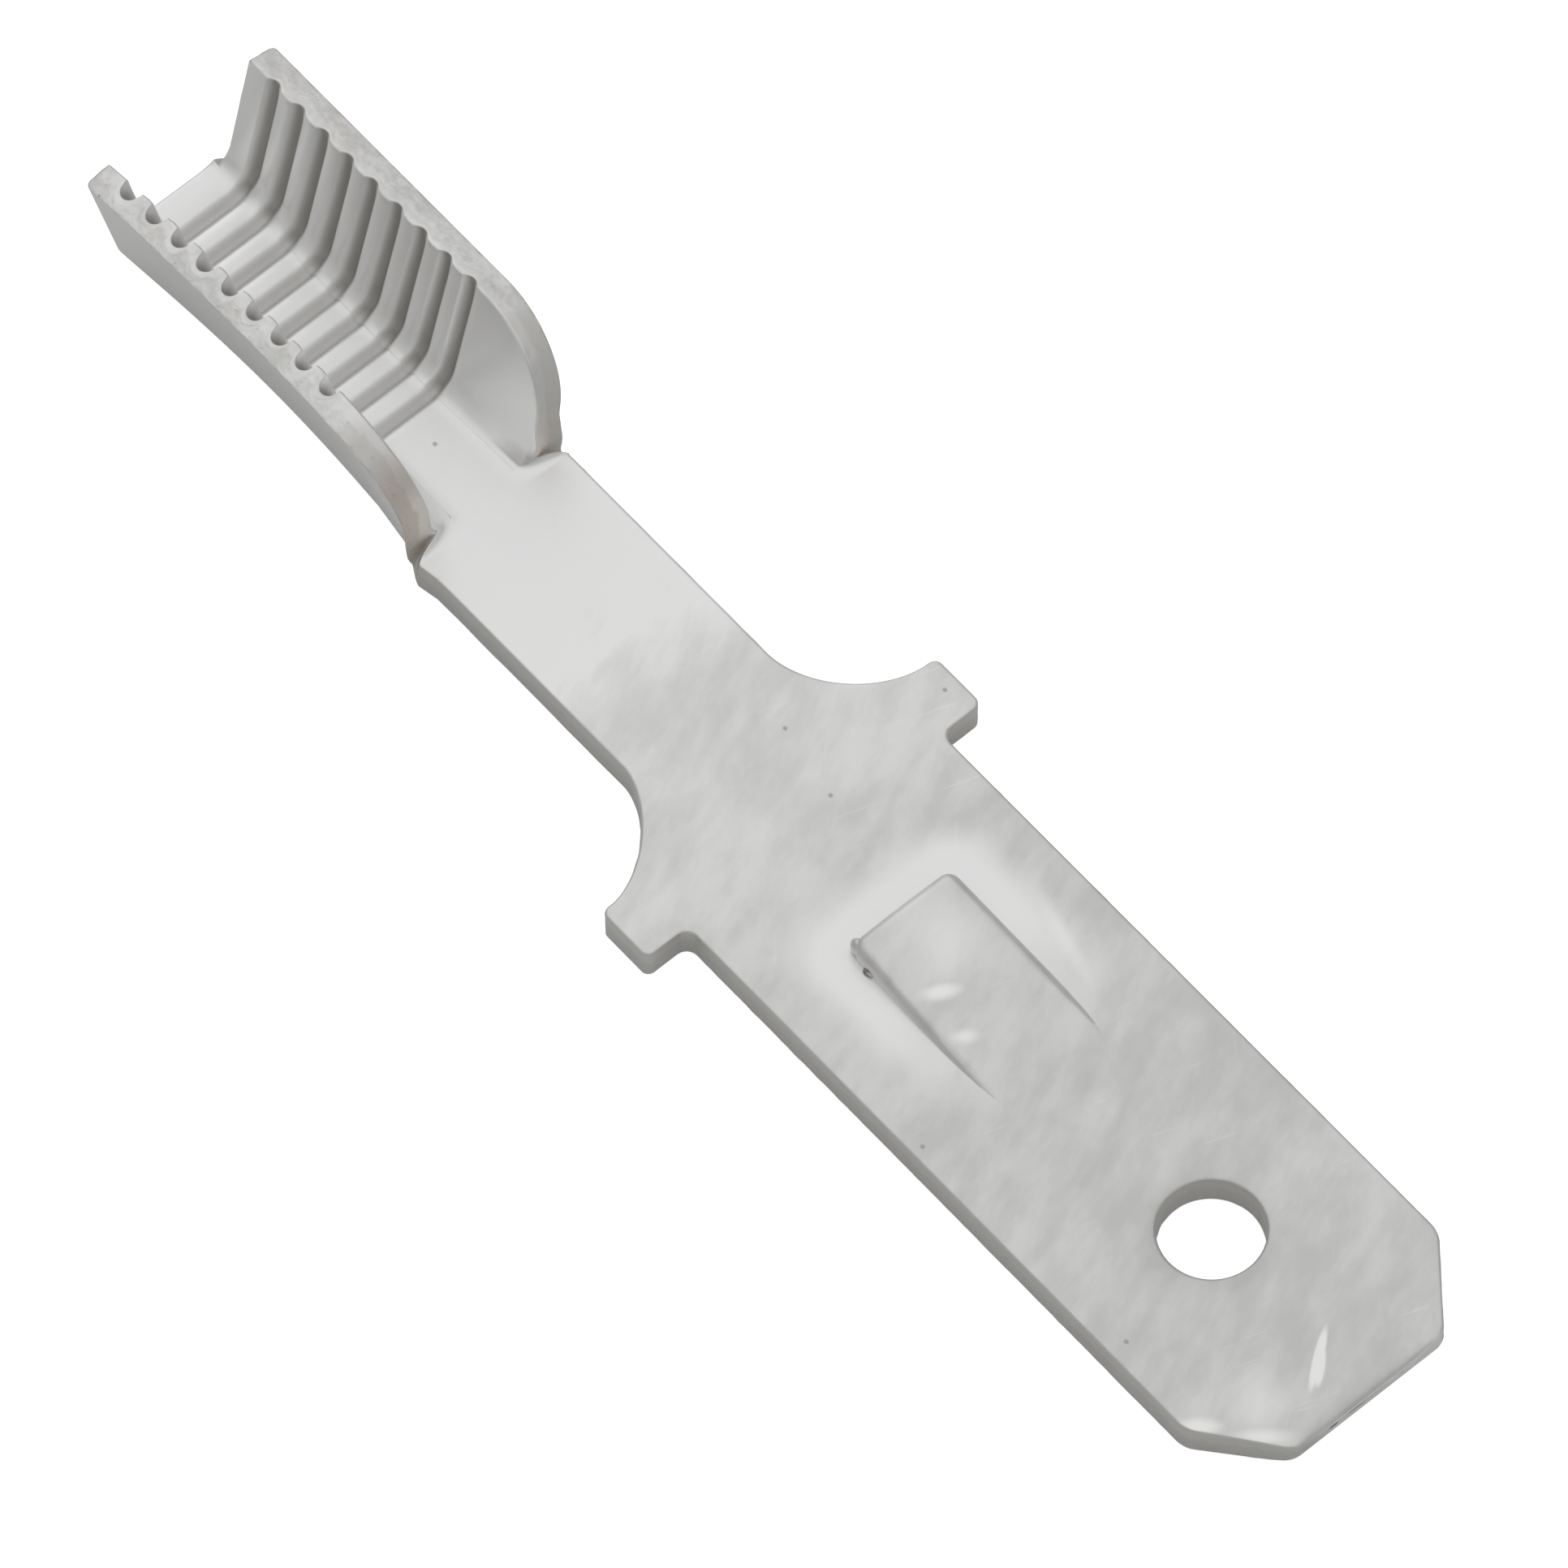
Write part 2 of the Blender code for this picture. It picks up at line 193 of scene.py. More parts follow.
def colour(name, description, value):
    return FloatVectorProperty(
        name=name, description=description, default=value, size=3, min=0, max=1, subtype="COLOR"
    )


def power(name, description, watts):
    return FloatProperty(name=name, description=description, default=watts, min=0, unit="POWER")


class SheetSizes(PropertyGroup):
    thickness: length("Thickness", "Thickness of the sheet", 0.8)
    top_rounding: length("Top Rounding", "Roll of the cut edge on the side the punch enters", 0.07)
    burr_rounding: length("Burr Rounding", "Rounding of the cut edge on the burr side", 0.04)
    edge_wander: length("Edge Wander", "How far a sheared edge strays from its line", 0.018)


class TabSizes(PropertyGroup):
    width: length("Width", "Width of the tab", 6.3)
    length: length("Length", "Length of the tab from its tip to the ears", 15.6)
    tip_width: length("Tip Width", "Width of the flat end between the chamfers", 3.7)
    chamfer_length: length("Chamfer Length", "Length of the tip's chamfers along the tab", 1.6)
    corner_reach: length("Corner Reach", "How far the rounding of a tip corner reaches", 0.2)
    lead_in_length: length("Lead-in Length", "Length of the wedge at the tip", 1.7)
    tip_thickness: length("Tip Thickness", "Thickness of the wedge at the tip", 0.6)
    nose_length: length("Nose Length", "Length of the rounded end of the wedge", 0.6)
    nose_drop: length("Nose Drop", "How far the wedge's top rolls down at its end", 0.34)
    nose_foot_rise: length("Nose Foot Rise", "How far the wedge's foot rolls up at its end", 0.12)
    nose_corner_width: length("Nose Corner Width", "Width over which the roll fades at a corner", 0.9)
    nose_corner_drop: length("Nose Corner Drop", "How far the top rolls down at a corner", 0.06)
    hole_diameter: length("Hole Diameter", "Diameter of the detent hole", 2.06)
    hole_from_tip: length("Hole from Tip", "Distance from the tip to the hole's centre", 4.4)
    hole_rounding: length("Hole Rounding", "Roll of the hole's upper rim", 0.09)


class EarSizes(PropertyGroup):
    length: length("Length", "Length of an ear along the terminal", 1.32)
    corner_radius: length("Corner Radius", "Radius of an ear's outer corners", 0.18)
    root_fillet: length("Root Fillet", "Fillet between an ear and the tab", 0.25)
    left_shoulder: length("Left Shoulder", "Radius from the left ear to the neck", 2.04)
    right_shoulder: length("Right Shoulder", "Radius from the right ear to the neck", 2.13)
    left_fullness: share("Left Fullness", "Shape of the left shoulder's curve, round at a half", 0.42)
    right_fullness: share("Right Fullness", "Shape of the right shoulder's curve, round at a half", 0.46)


class BarrelSizes(PropertyGroup):
    neck_width: length("Neck Width", "Width of the neck", 3.66)
    neck_length: length("Neck Length", "Length of the neck from the ears to the wings", 8.1)
    length: length("Length", "Length of the barrel's wings along their foot", 8.95)
    floor_width: length("Floor Width", "Width of the flat floor's outer face", 1.55)
    foot_waist: length("Foot Waist", "How far the foot draws in at mid length", 0.12)
    bend_radius: length("Bend Radius", "Outer radius of the fold", 0.95)
    wing_height: length("Wing Height", "Height of the wings' outer top edge", 3.69)
    flare: angle("Flare", "Lean of the wings away from upright", 11.5)
    wing_thickness: length("Wing Thickness", "Thickness of a wing at its foot", 0.64)
    wing_top_thickness: length("Wing Top Thickness", "Thickness of a wing at its top", 0.62)
    inner_bend_radius: length("Inner Bend Radius", "Inner radius of the fold", 0.6)
    shoulder_radius: length("Shoulder Radius", "Radius of a wing's front upper corner", 1.95)
    front_rake: angle("Front Rake", "Rake of a wing's front edge in the flat", 6)
    left_root_fillet: length("Left Root Fillet", "Fillet from the left wing to the neck", 0.14)
    right_root_fillet: length("Right Root Fillet", "Fillet from the right wing to the neck", 0.3)
    root_swell: length("Root Swell", "How far the left edge swells out at the wings' root", 0.11)
    swell_reach: length("Swell Reach", "How far the swelling reaches along the terminal", 0.8)
    unfold_behind: length("Unfold Behind", "How far behind the wings' root the fold opens", 0.15)
    unfold_ahead: length("Unfold Ahead", "How far ahead of the wings' root the fold ends", 0.24)
    stub_length: length("Stub Length", "Length of the stub where the carrier strip was cut", 0.15)
    stub_width: length("Stub Width", "Width of the stub", 3.3)
    end_rounding: length("End Rounding", "Roll of the wings' outer face at their rear end", 0.16)
    left_bow: length("Left Bow", "How far the left wing bows in at mid length", 0.12)
    right_lean: length("Right Lean", "How far the right wing's top leans out", 0.07)


class SerrationSizes(PropertyGroup):
    count: IntProperty(name="Count", description="Number of serrations", default=9, min=1)
    pitch: length("Pitch", "Distance between serrations", 0.714)
    from_rear: length("From Rear", "Distance from the wings' rear end to the first", 0.74)
    width: length("Width", "Width of a serration at its rims", 0.44)
    floor_width: length("Floor Width", "Width of a serration's floor", 0.06)
    depth: length("Depth", "Depth of a serration", 0.18)
    lobe: length("Lobe", "How far the metal between serrations stands out at the wings' tops", 0.03)
    notch: length("Notch", "How much deeper the serrations cut into the left wing's top", 0.12)
    top_fade: share("Top Fade", "Share of the depth lost at the right wing's top", 0.45)


class LanceSizes(PropertyGroup):
    from_tip: length("From Tip", "Distance from the tip to the lance's hinge", 8.7)
    length: length("Length", "Length of the lance", 4.48)
    rear_width: length("Rear Width", "Width of the lance at its sheared rear", 2.5)
    front_width: length("Front Width", "Width of the lance at its hinge", 2.76)
    rise: length("Rise", "Height of the lance's rear above the tab", 0.5)
    rounding: length("Rounding", "Rounding of the lance's upper edges", 0.27)
    crown: length("Crown", "Crown across the lance's top", 0.05)
    pocket_margin: length("Pocket Margin", "Width kept uncut beside the pocket below", 0.1)
    foot_depth: length("Foot Depth", "How deep the lance's foot joins the tab", 0.3)
    nub_radius: length("Nub Radius", "Size of the torn nub at the lance's rear left corner", 0.15)
    tear_radius: length("Tear Radius", "Size of the small tear beside the nub", 0.11)


class PlatingLook(PropertyGroup):
    tin: colour("Tin", "Colour of the tin plating", (0.95, 0.95, 0.945))
    tin_shade: colour("Tin Shade", "Colour of the plating's dull patches", (0.62, 0.62, 0.61))
    sheared: colour("Sheared Metal", "Colour of the cut edges", (0.70, 0.695, 0.675))
    brass: colour("Brass", "Colour that shows where the plating is thin", (0.68, 0.625, 0.575))
    # Colour of the real pits and torn metal, and also of the painted shade in the grooves and the painted
    # shadow at the right wing's root
    grime_and_shade: colour("Grime", "Colour of the pits and of what lies in the grooves", (0.30, 0.28, 0.25))
    # Colour of the scratches and rubbed spots, and also of the painted highlights at the tip and on the
    # lance's crest
    bright: colour("Bright Metal", "Colour of fresh scratches and rubbed spots", (1.0, 1.0, 0.99))
    roughness: share("Roughness", "Roughness of the satin plating", 0.42)
    metallic: share("Metallic", "How metallic the plating is", 0.75)
    sheared_metallic: share("Sheared Metallic", "How metallic the cut edges are", 0.85)


class StudioLook(PropertyGroup):
    floor: colour("Floor", "Colour of the floor", (0.93, 0.93, 0.92))
    reflected_floor: colour("Reflected Floor", "Tone that the floor gives back", (0.66, 0.66, 0.65))
    floor_glow: FloatProperty(
        name="Floor Glow", description="Light that lifts the floor to white", default=0.75, min=0
    )
    sky: FloatProperty(name="Sky", description="Strength of the light overhead", default=0.78, min=0)
    horizon: FloatProperty(
        name="Horizon", description="Strength of the light at the horizon", default=0.26, min=0
    )
    key: power("Key", "Power of the light behind the terminal", 0.15)
    fill: power("Fill", "Power of the light beyond the tip", 0.12)
    distance: length("Camera Distance", "Distance from the camera to the terminal", 406.5)
    azimuth: angle("Camera Azimuth", "Turn of the camera from the tip's side", -40.16)
    elevation: angle("Camera Elevation", "Height of the camera above the floor", 60.91)
    roll: angle("Camera Roll", "Turn of the camera about its view", -0.844)
    aim_across: length("Aim Across", "How far beside the middle the camera aims", 0.49)
    lens: FloatProperty(name="Lens", description="Focal length", default=497.4, unit="CAMERA")


class Stations:
    """Places along and across the blank, worked out from the sizes."""

    def __init__(self, scene):
        tab = scene.spade_tab
        barrel = scene.spade_barrel
        lance = scene.spade_lance
        self.tip = HIGH.x
        self.chamfer = self.tip - tab.chamfer_length
        self.ear_front = self.tip - tab.length
        self.ear_rear = self.ear_front - scene.spade_ears.length
        self.root = self.ear_rear - barrel.neck_length
        self.rear = self.root - barrel.length
        self.unfold_start = self.root - barrel.unfold_behind
        self.unfold_end = self.root + barrel.unfold_ahead
        self.hinge = self.tip - lance.from_tip
        self.lance_rear = self.hinge - lance.length
        self.ear_side = (HIGH.y - LOW.y) / 2
        self.neck_side = barrel.neck_width / 2
        self.fold_angle = math.pi / 2 - barrel.flare
        self.fold_start = barrel.floor_width / 2
        self.fold_end = self.fold_start + barrel.bend_radius * self.fold_angle
        wing_start = barrel.bend_radius * (1 - math.cos(self.fold_angle))
        self.wing_edge = self.fold_end + (barrel.wing_height - wing_start) / math.cos(barrel.flare)
        inner = barrel.inner_bend_radius
        self.fillet_up = inner + scene.spade_sheet.thickness - barrel.bend_radius
        from_wing = barrel.bend_radius - barrel.wing_thickness - inner
        raised = from_wing + self.fillet_up * math.cos(self.fold_angle)
        self.fillet_out = raised / math.sin(self.fold_angle)
        self.fillet_start = self.fold_start + self.fillet_out
        along_wing = self.fillet_out * math.cos(self.fold_angle)
        along_wing += self.fillet_up * math.sin(self.fold_angle)
        self.fillet_end = self.fold_end + along_wing
        serrations = scene.spade_serrations
        first = self.rear + serrations.from_rear
        self.serrations = [first + index * serrations.pitch for index in range(serrations.count)]


def between(start, end, steps):
    """Evenly spaced values from start to end, both included."""
    return [start + (end - start) * step / steps for step in range(steps + 1)]


def smooth_step(value):
    value = min(max(value, 0.0), 1.0)
    return value * value * (3 - 2 * value)


def deselect_all():
    for item in bpy.context.view_layer.objects:
        item.select_set(False)


def make_active(piece):
    deselect_all()
    piece.select_set(True)
    bpy.context.view_layer.objects.active = piece


def select_where(kind, test):
    """Selects the vertices or edges of the piece in edit mode that pass the test."""
    mesh = bpy.context.object.data
    bpy.ops.mesh.select_mode(type=kind)
    bpy.ops.mesh.select_all(action="DESELECT")
    work = bmesh.from_edit_mesh(mesh)
    for element in work.verts if kind == "VERT" else work.edges:
        if test(element):
            element.select_set(True)
    bmesh.update_edit_mesh(mesh)


def is_at(value, wanted):
    return abs(value - wanted) < NEAR


def select_edges(test):
    """Selects the edges whose two ends lie at places that pass the test."""
    select_where("EDGE", lambda edge: all(test(vert.co) for vert in edge.verts))


def extrude(move):
    bpy.ops.mesh.extrude_region_move(TRANSFORM_OT_translate={"value": move})


def cut_plane(place, normal):
    bpy.ops.mesh.select_all(action="SELECT")
    bpy.ops.mesh.bisect(plane_co=place, plane_no=normal, threshold=NEAR / 100)


def round_corner(x, y, reach, segments, fullness=0.5):
    """Rounds the blank's corner at a place, where its edges turn."""
    corner = Vector((x, y))
    select_where("VERT", lambda vert: (vert.co.xy - corner).length < NEAR)
    bpy.ops.mesh.bevel(
        offset=reach, segments=segments, affect="VERTICES", profile=fullness, clamp_overlap=False
    )


def apply_modifier(piece, kind, **settings):
    make_active(piece)
    bpy.ops.object.modifier_add(type=kind)
    modifier = piece.modifiers[-1]
    for name, value in settings.items():
        setattr(modifier, name, value)
    bpy.ops.object.modifier_apply(modifier=modifier.name)


def extent(piece):
    """How long the piece's mesh is along the terminal."""
    places = [vertex.co.x for vertex in piece.data.vertices]
    return max(places, default=0) - min(places, default=0)


def combine(piece, tool, operation):
    """Joins the tool to the piece or cuts it away, and stops where that would lose the piece."""
    full = extent(piece)
    apply_modifier(piece, "BOOLEAN", operation=operation, solver="EXACT", object=tool)
    bpy.data.objects.remove(tool, do_unlink=True)
    if extent(piece) < full - NEAR:
        raise RuntimeError(f"The Boolean {operation} lost a part of {piece.name}")


def add_plane(name, low_x, high_x, width, height):
    """A flat rectangle in edit mode, between two places along the terminal."""
    middle = ((low_x + high_x) / 2, 0, height)
    deselect_all()
    bpy.ops.mesh.primitive_plane_add(size=1, location=middle)
    piece = bpy.context.object
    piece.name = name
    bpy.ops.object.transform_apply(location=True, rotation=False, scale=False)
    bpy.ops.object.mode_set(mode="EDIT")
    bpy.ops.mesh.select_all(action="SELECT")
    bpy.ops.transform.resize(value=(high_x - low_x, width, 1), center_override=middle)
    return piece


def lay_out_tab(scene, at):
    tab = scene.spade_tab
    middle_height = scene.spade_sheet.thickness / 2
    blank = add_plane("tin_plated_terminal", at.ear_front, at.chamfer, tab.width, middle_height)
    select_edges(lambda place: is_at(place.x, at.chamfer))
    extrude((tab.chamfer_length, 0, 0))
    narrowing = tab.tip_width / tab.width
    bpy.ops.transform.resize(value=(1, narrowing, 1), center_override=(at.tip, 0, middle_height))
    return blank


def lay_out_ears(scene, at):
    select_edges(lambda place: is_at(place.x, at.ear_front))
    extrude((at.ear_rear - at.ear_front, 0, 0))
    tab_side = scene.spade_tab.width / 2
    ear_end = at.ear_front + NEAR
    for side in (1, -1):
        select_edges(lambda place: is_at(place.y, side * tab_side) and place.x < ear_end)
        extrude((0, side * (at.ear_side - tab_side), 0))


def lay_out_barrel(scene, at):
    barrel = scene.spade_barrel
    for side in (1, -1):
        cut_plane((0, side * at.neck_side, 0), (0, 1, 0))
    within_neck = at.neck_side + NEAR
    select_edges(lambda place: is_at(place.x, at.ear_rear) and abs(place.y) < within_neck)
    extrude((at.root - at.ear_rear, 0, 0))
    extrude((at.rear - at.root, 0, 0))
    wing_reach = at.wing_edge - at.neck_side
    wing_front = at.root + NEAR
    for side in (1, -1):
        select_edges(lambda place: is_at(place.y, side * at.neck_side) and place.x < wing_front)
        extrude((0, side * wing_reach, 0))
    past_wing = at.wing_edge - NEAR
    select_where("VERT", lambda vert: is_at(vert.co.x, at.root) and abs(vert.co.y) > past_wing)
    bpy.ops.transform.translate(value=(-wing_reach * math.tan(barrel.front_rake), 0, 0))
    for side in (1, -1):
        cut_plane((0, side * barrel.stub_width / 2, 0), (0, 1, 0))
    within_stub = barrel.stub_width / 2 + NEAR
    select_edges(lambda place: is_at(place.x, at.rear) and abs(place.y) < within_stub)
    extrude((-barrel.stub_length, 0, 0))


def round_blank(scene, at):
    """Makes the blank one face and rounds the corners of its outline."""
    tab = scene.spade_tab
    ears = scene.spade_ears
    barrel = scene.spade_barrel
    bpy.ops.mesh.select_all(action="SELECT")
    bpy.ops.mesh.dissolve_limited(angle_limit=math.radians(1))
    corner_turn = math.tan((math.pi / 2 - barrel.front_rake) / 2)
    front_top = at.root - (at.wing_edge - at.neck_side) * math.tan(barrel.front_rake)
    wing_shoulder = barrel.shoulder_radius * corner_turn
    stub_end = at.rear - barrel.stub_length
    shoulders = {
        -1: (ears.left_shoulder, SHOULDER_STEPS, ears.left_fullness),
        1: (ears.right_shoulder, SHOULDER_STEPS, ears.right_fullness),
    }
    root_fillets = {-1: barrel.left_root_fillet, 1: barrel.right_root_fillet}
    for side in (1, -1):
        round_corner(at.tip, side * tab.tip_width / 2, tab.corner_reach, CORNER_STEPS)
        round_corner(at.chamfer, side * tab.width / 2, tab.corner_reach, CORNER_STEPS)
        round_corner(at.ear_front, side * tab.width / 2, ears.root_fillet, CORNER_STEPS)
        round_corner(at.ear_front, side * at.ear_side, ears.corner_radius, CORNER_STEPS)
        round_corner(at.ear_rear, side * at.ear_side, ears.corner_radius, CORNER_STEPS)
        round_corner(at.ear_rear, side * at.neck_side, *shoulders[side])
        round_corner(at.root, side * at.neck_side, root_fillets[side] * corner_turn, ROOT_STEPS)
        round_corner(front_top, side * at.wing_edge, wing_shoulder, SHOULDER_STEPS)
        round_corner(at.rear, side * at.wing_edge, ears.corner_radius / 2, WING_CORNER_STEPS)
        round_corner(stub_end, side * barrel.stub_width / 2, barrel.stub_length / 2, STUB_CORNER_STEPS)
    bpy.ops.object.mode_set(mode="OBJECT")


def pierce_hole(scene, at, blank):
    tab = scene.spade_tab
    thickness = scene.spade_sheet.thickness
    deselect_all()
    bpy.ops.mesh.primitive_cylinder_add(
        vertices=HOLE_SIDES,
        radius=tab.hole_diameter / 2,
        depth=thickness * 3,
        location=(at.tip - tab.hole_from_tip, 0, thickness / 2),
    )
    combine(blank, bpy.context.object, "DIFFERENCE")


def roll_edges(scene, at, blank):
    """Rounds the sheet's cut edges, more on the side that the punch enters."""
    sheet = scene.spade_sheet
    tab = scene.spade_tab
    hole_reach = tab.hole_diameter / 2 + sheet.thickness / 4
    hole_middle = Vector((at.tip - tab.hole_from_tip, 0))
    make_active(blank)
    bpy.ops.object.mode_set(mode="EDIT")

    def is_rim(edge, height):
        level = all(abs(vert.co.z - height) < NEAR for vert in edge.verts)
        return level and edge.is_manifold and edge.calc_face_angle() > math.radians(60)

    def at_hole(edge):
        return (edge.verts[0].co.xy - hole_middle).length < hole_reach

    for height, offset, segments, wanted in (
        (sheet.thickness, sheet.top_rounding, TOP_EDGE_STEPS, lambda edge: not at_hole(edge)),
        (sheet.thickness, tab.hole_rounding, TOP_EDGE_STEPS, at_hole),
        (0, sheet.burr_rounding, BURR_STEPS, lambda edge: True),
    ):
        select_where("EDGE", lambda edge: is_rim(edge, height) and wanted(edge))
        bpy.ops.mesh.bevel(offset=offset, segments=segments, profile=0.5, clamp_overlap=False)
    bpy.ops.object.mode_set(mode="OBJECT")


def add_lance_wedge(scene, at, name, lift, margin):
    """A wedge with the lance's plan, whose top rises from the hinge to the rear."""
    lance = scene.spade_lance
    slope = lance.rise / lance.length
    rear = at.lance_rear + margin
    front = at.hinge + lance.foot_depth
    wedge = add_plane(name, rear, front, lance.front_width - 2 * margin, lift - lance.foot_depth)
    select_edges(lambda place: is_at(place.x, rear))
    narrowing = (lance.rear_width - 2 * margin) / (lance.front_width - 2 * margin)
    bpy.ops.transform.resize(value=(1, narrowing, 1), center_override=(rear, 0, 0))
    bpy.ops.mesh.select_all(action="SELECT")
    extrude((0, 0, lance.foot_depth - lance.foot_depth * slope))
    top = lift - lance.foot_depth * slope
    select_where("VERT", lambda vert: vert.co.x < rear + NEAR and vert.co.z > top - NEAR)
    bpy.ops.transform.translate(value=(0, 0, (front - rear) * slope))
    return wedge


def close_wedge():
    """Turns the wedge's faces outwards and leaves edit mode."""
    bpy.ops.mesh.select_all(action="SELECT")
    bpy.ops.mesh.normals_make_consistent(inside=False)
    bpy.ops.object.mode_set(mode="OBJECT")


def raise_lance(scene, at, blank):
    """Joins the lance's tongue to the tab's top and takes its pocket out of the underside."""
    lance = scene.spade_lance
    thickness = scene.spade_sheet.thickness
    tongue = add_lance_wedge(scene, at, "tongue", thickness, 0)
    foot = thickness - lance.foot_depth + NEAR
    select_where("EDGE", lambda edge: any(vert.co.z > foot for vert in edge.verts))
    bpy.ops.mesh.bevel(
        offset=lance.rounding, segments=LANCE_EDGE_STEPS, profile=0.5, clamp_overlap=False
    )
    close_wedge()
    combine(blank, tongue, "UNION")
    pocket = add_lance_wedge(scene, at, "pocket", 0, lance.pocket_margin)
    close_wedge()
    combine(blank, pocket, "DIFFERENCE")


def tear_lance_corner(scene, at, blank):
    """The nub of torn metal at the lance's rear left corner, with a small hole beside it."""
    lance = scene.spade_lance
    corner_y = -lance.rear_width / 2
    thickness = scene.spade_sheet.thickness
    nub_height = thickness + lance.nub_radius
    nub = Vector((at.lance_rear + lance.nub_radius / 2, corner_y + lance.nub_radius, nub_height))
    tear = Vector((at.lance_rear + TEAR_AHEAD, corner_y + lance.tear_radius / 5, thickness))
    for place, radius, operation in (
        (nub, lance.nub_radius, "UNION"),
        (tear, lance.tear_radius, "DIFFERENCE"),
    ):
        deselect_all()
        bpy.ops.mesh.primitive_uv_sphere_add(segments=20, ring_count=12, radius=radius, location=place)
        bpy.ops.transform.resize(value=TORN_STRETCH, center_override=place)
        combine(blank, bpy.context.object, operation)


def cut_fold_lines(scene, at, blank):
    """Lines across and along the blank, close enough for its faces to follow the press."""
    tab = scene.spade_tab
    serrations = scene.spade_serrations
    make_active(blank)
    bpy.ops.object.mode_set(mode="EDIT")
    quarter = math.pi / 2
    top_band = at.wing_edge - 4 * scene.spade_sheet.top_rounding
    across = between(0, at.fold_start, FLOOR_CUTS)[1:]
    across += between(at.fold_start, at.fold_end, BEND_CUTS)[1:]
    across += between(at.fold_end, at.fillet_end, FILLET_CUTS)[1:]
    across += between(at.fillet_end, top_band, WING_CUTS)[1:]
    across += between(top_band, at.wing_edge, WING_TOP_CUTS)[1:-1]
    for y in across:
        cut_plane((0, y, 0), (0, 1, 0))
        cut_plane((0, -y, 0), (0, 1, 0))
    nose = at.tip - tab.nose_length
    along = [nose + tab.nose_length * math.sin(turn) for turn in between(0, quarter, NOSE_CUTS)[:-1]]
    along += between(at.ear_front, nose, TAB_CUTS)[1:-1]
    along += between(at.unfold_end, at.ear_front, NECK_CUTS)
    along += between(at.unfold_start, at.unfold_end, UNFOLD_CUTS)[:-1]
    end = scene.spade_barrel.end_rounding
    along += [at.rear + end * (1 - math.cos(turn)) for turn in between(0, quarter, REAR_END_CUTS)]
    along += [(at.serrations[-1] + at.unfold_start) / 2]
    rim = serrations.width / 2
    floor = serrations.floor_width / 2
    for centre in at.serrations:
        flanks = between(-rim, -floor, FLANK_CUTS) + between(floor, rim, FLANK_CUTS)
        along += [centre + offset for offset in flanks] + [centre + serrations.pitch / 2]
    for x in along:
        cut_plane((x, 0, 0), (1, 0, 0))
    for part in LAYERS:
        cut_plane((0, 0, part * scene.spade_sheet.thickness), (0, 0, 1))
    bpy.ops.object.mode_set(mode="OBJECT")


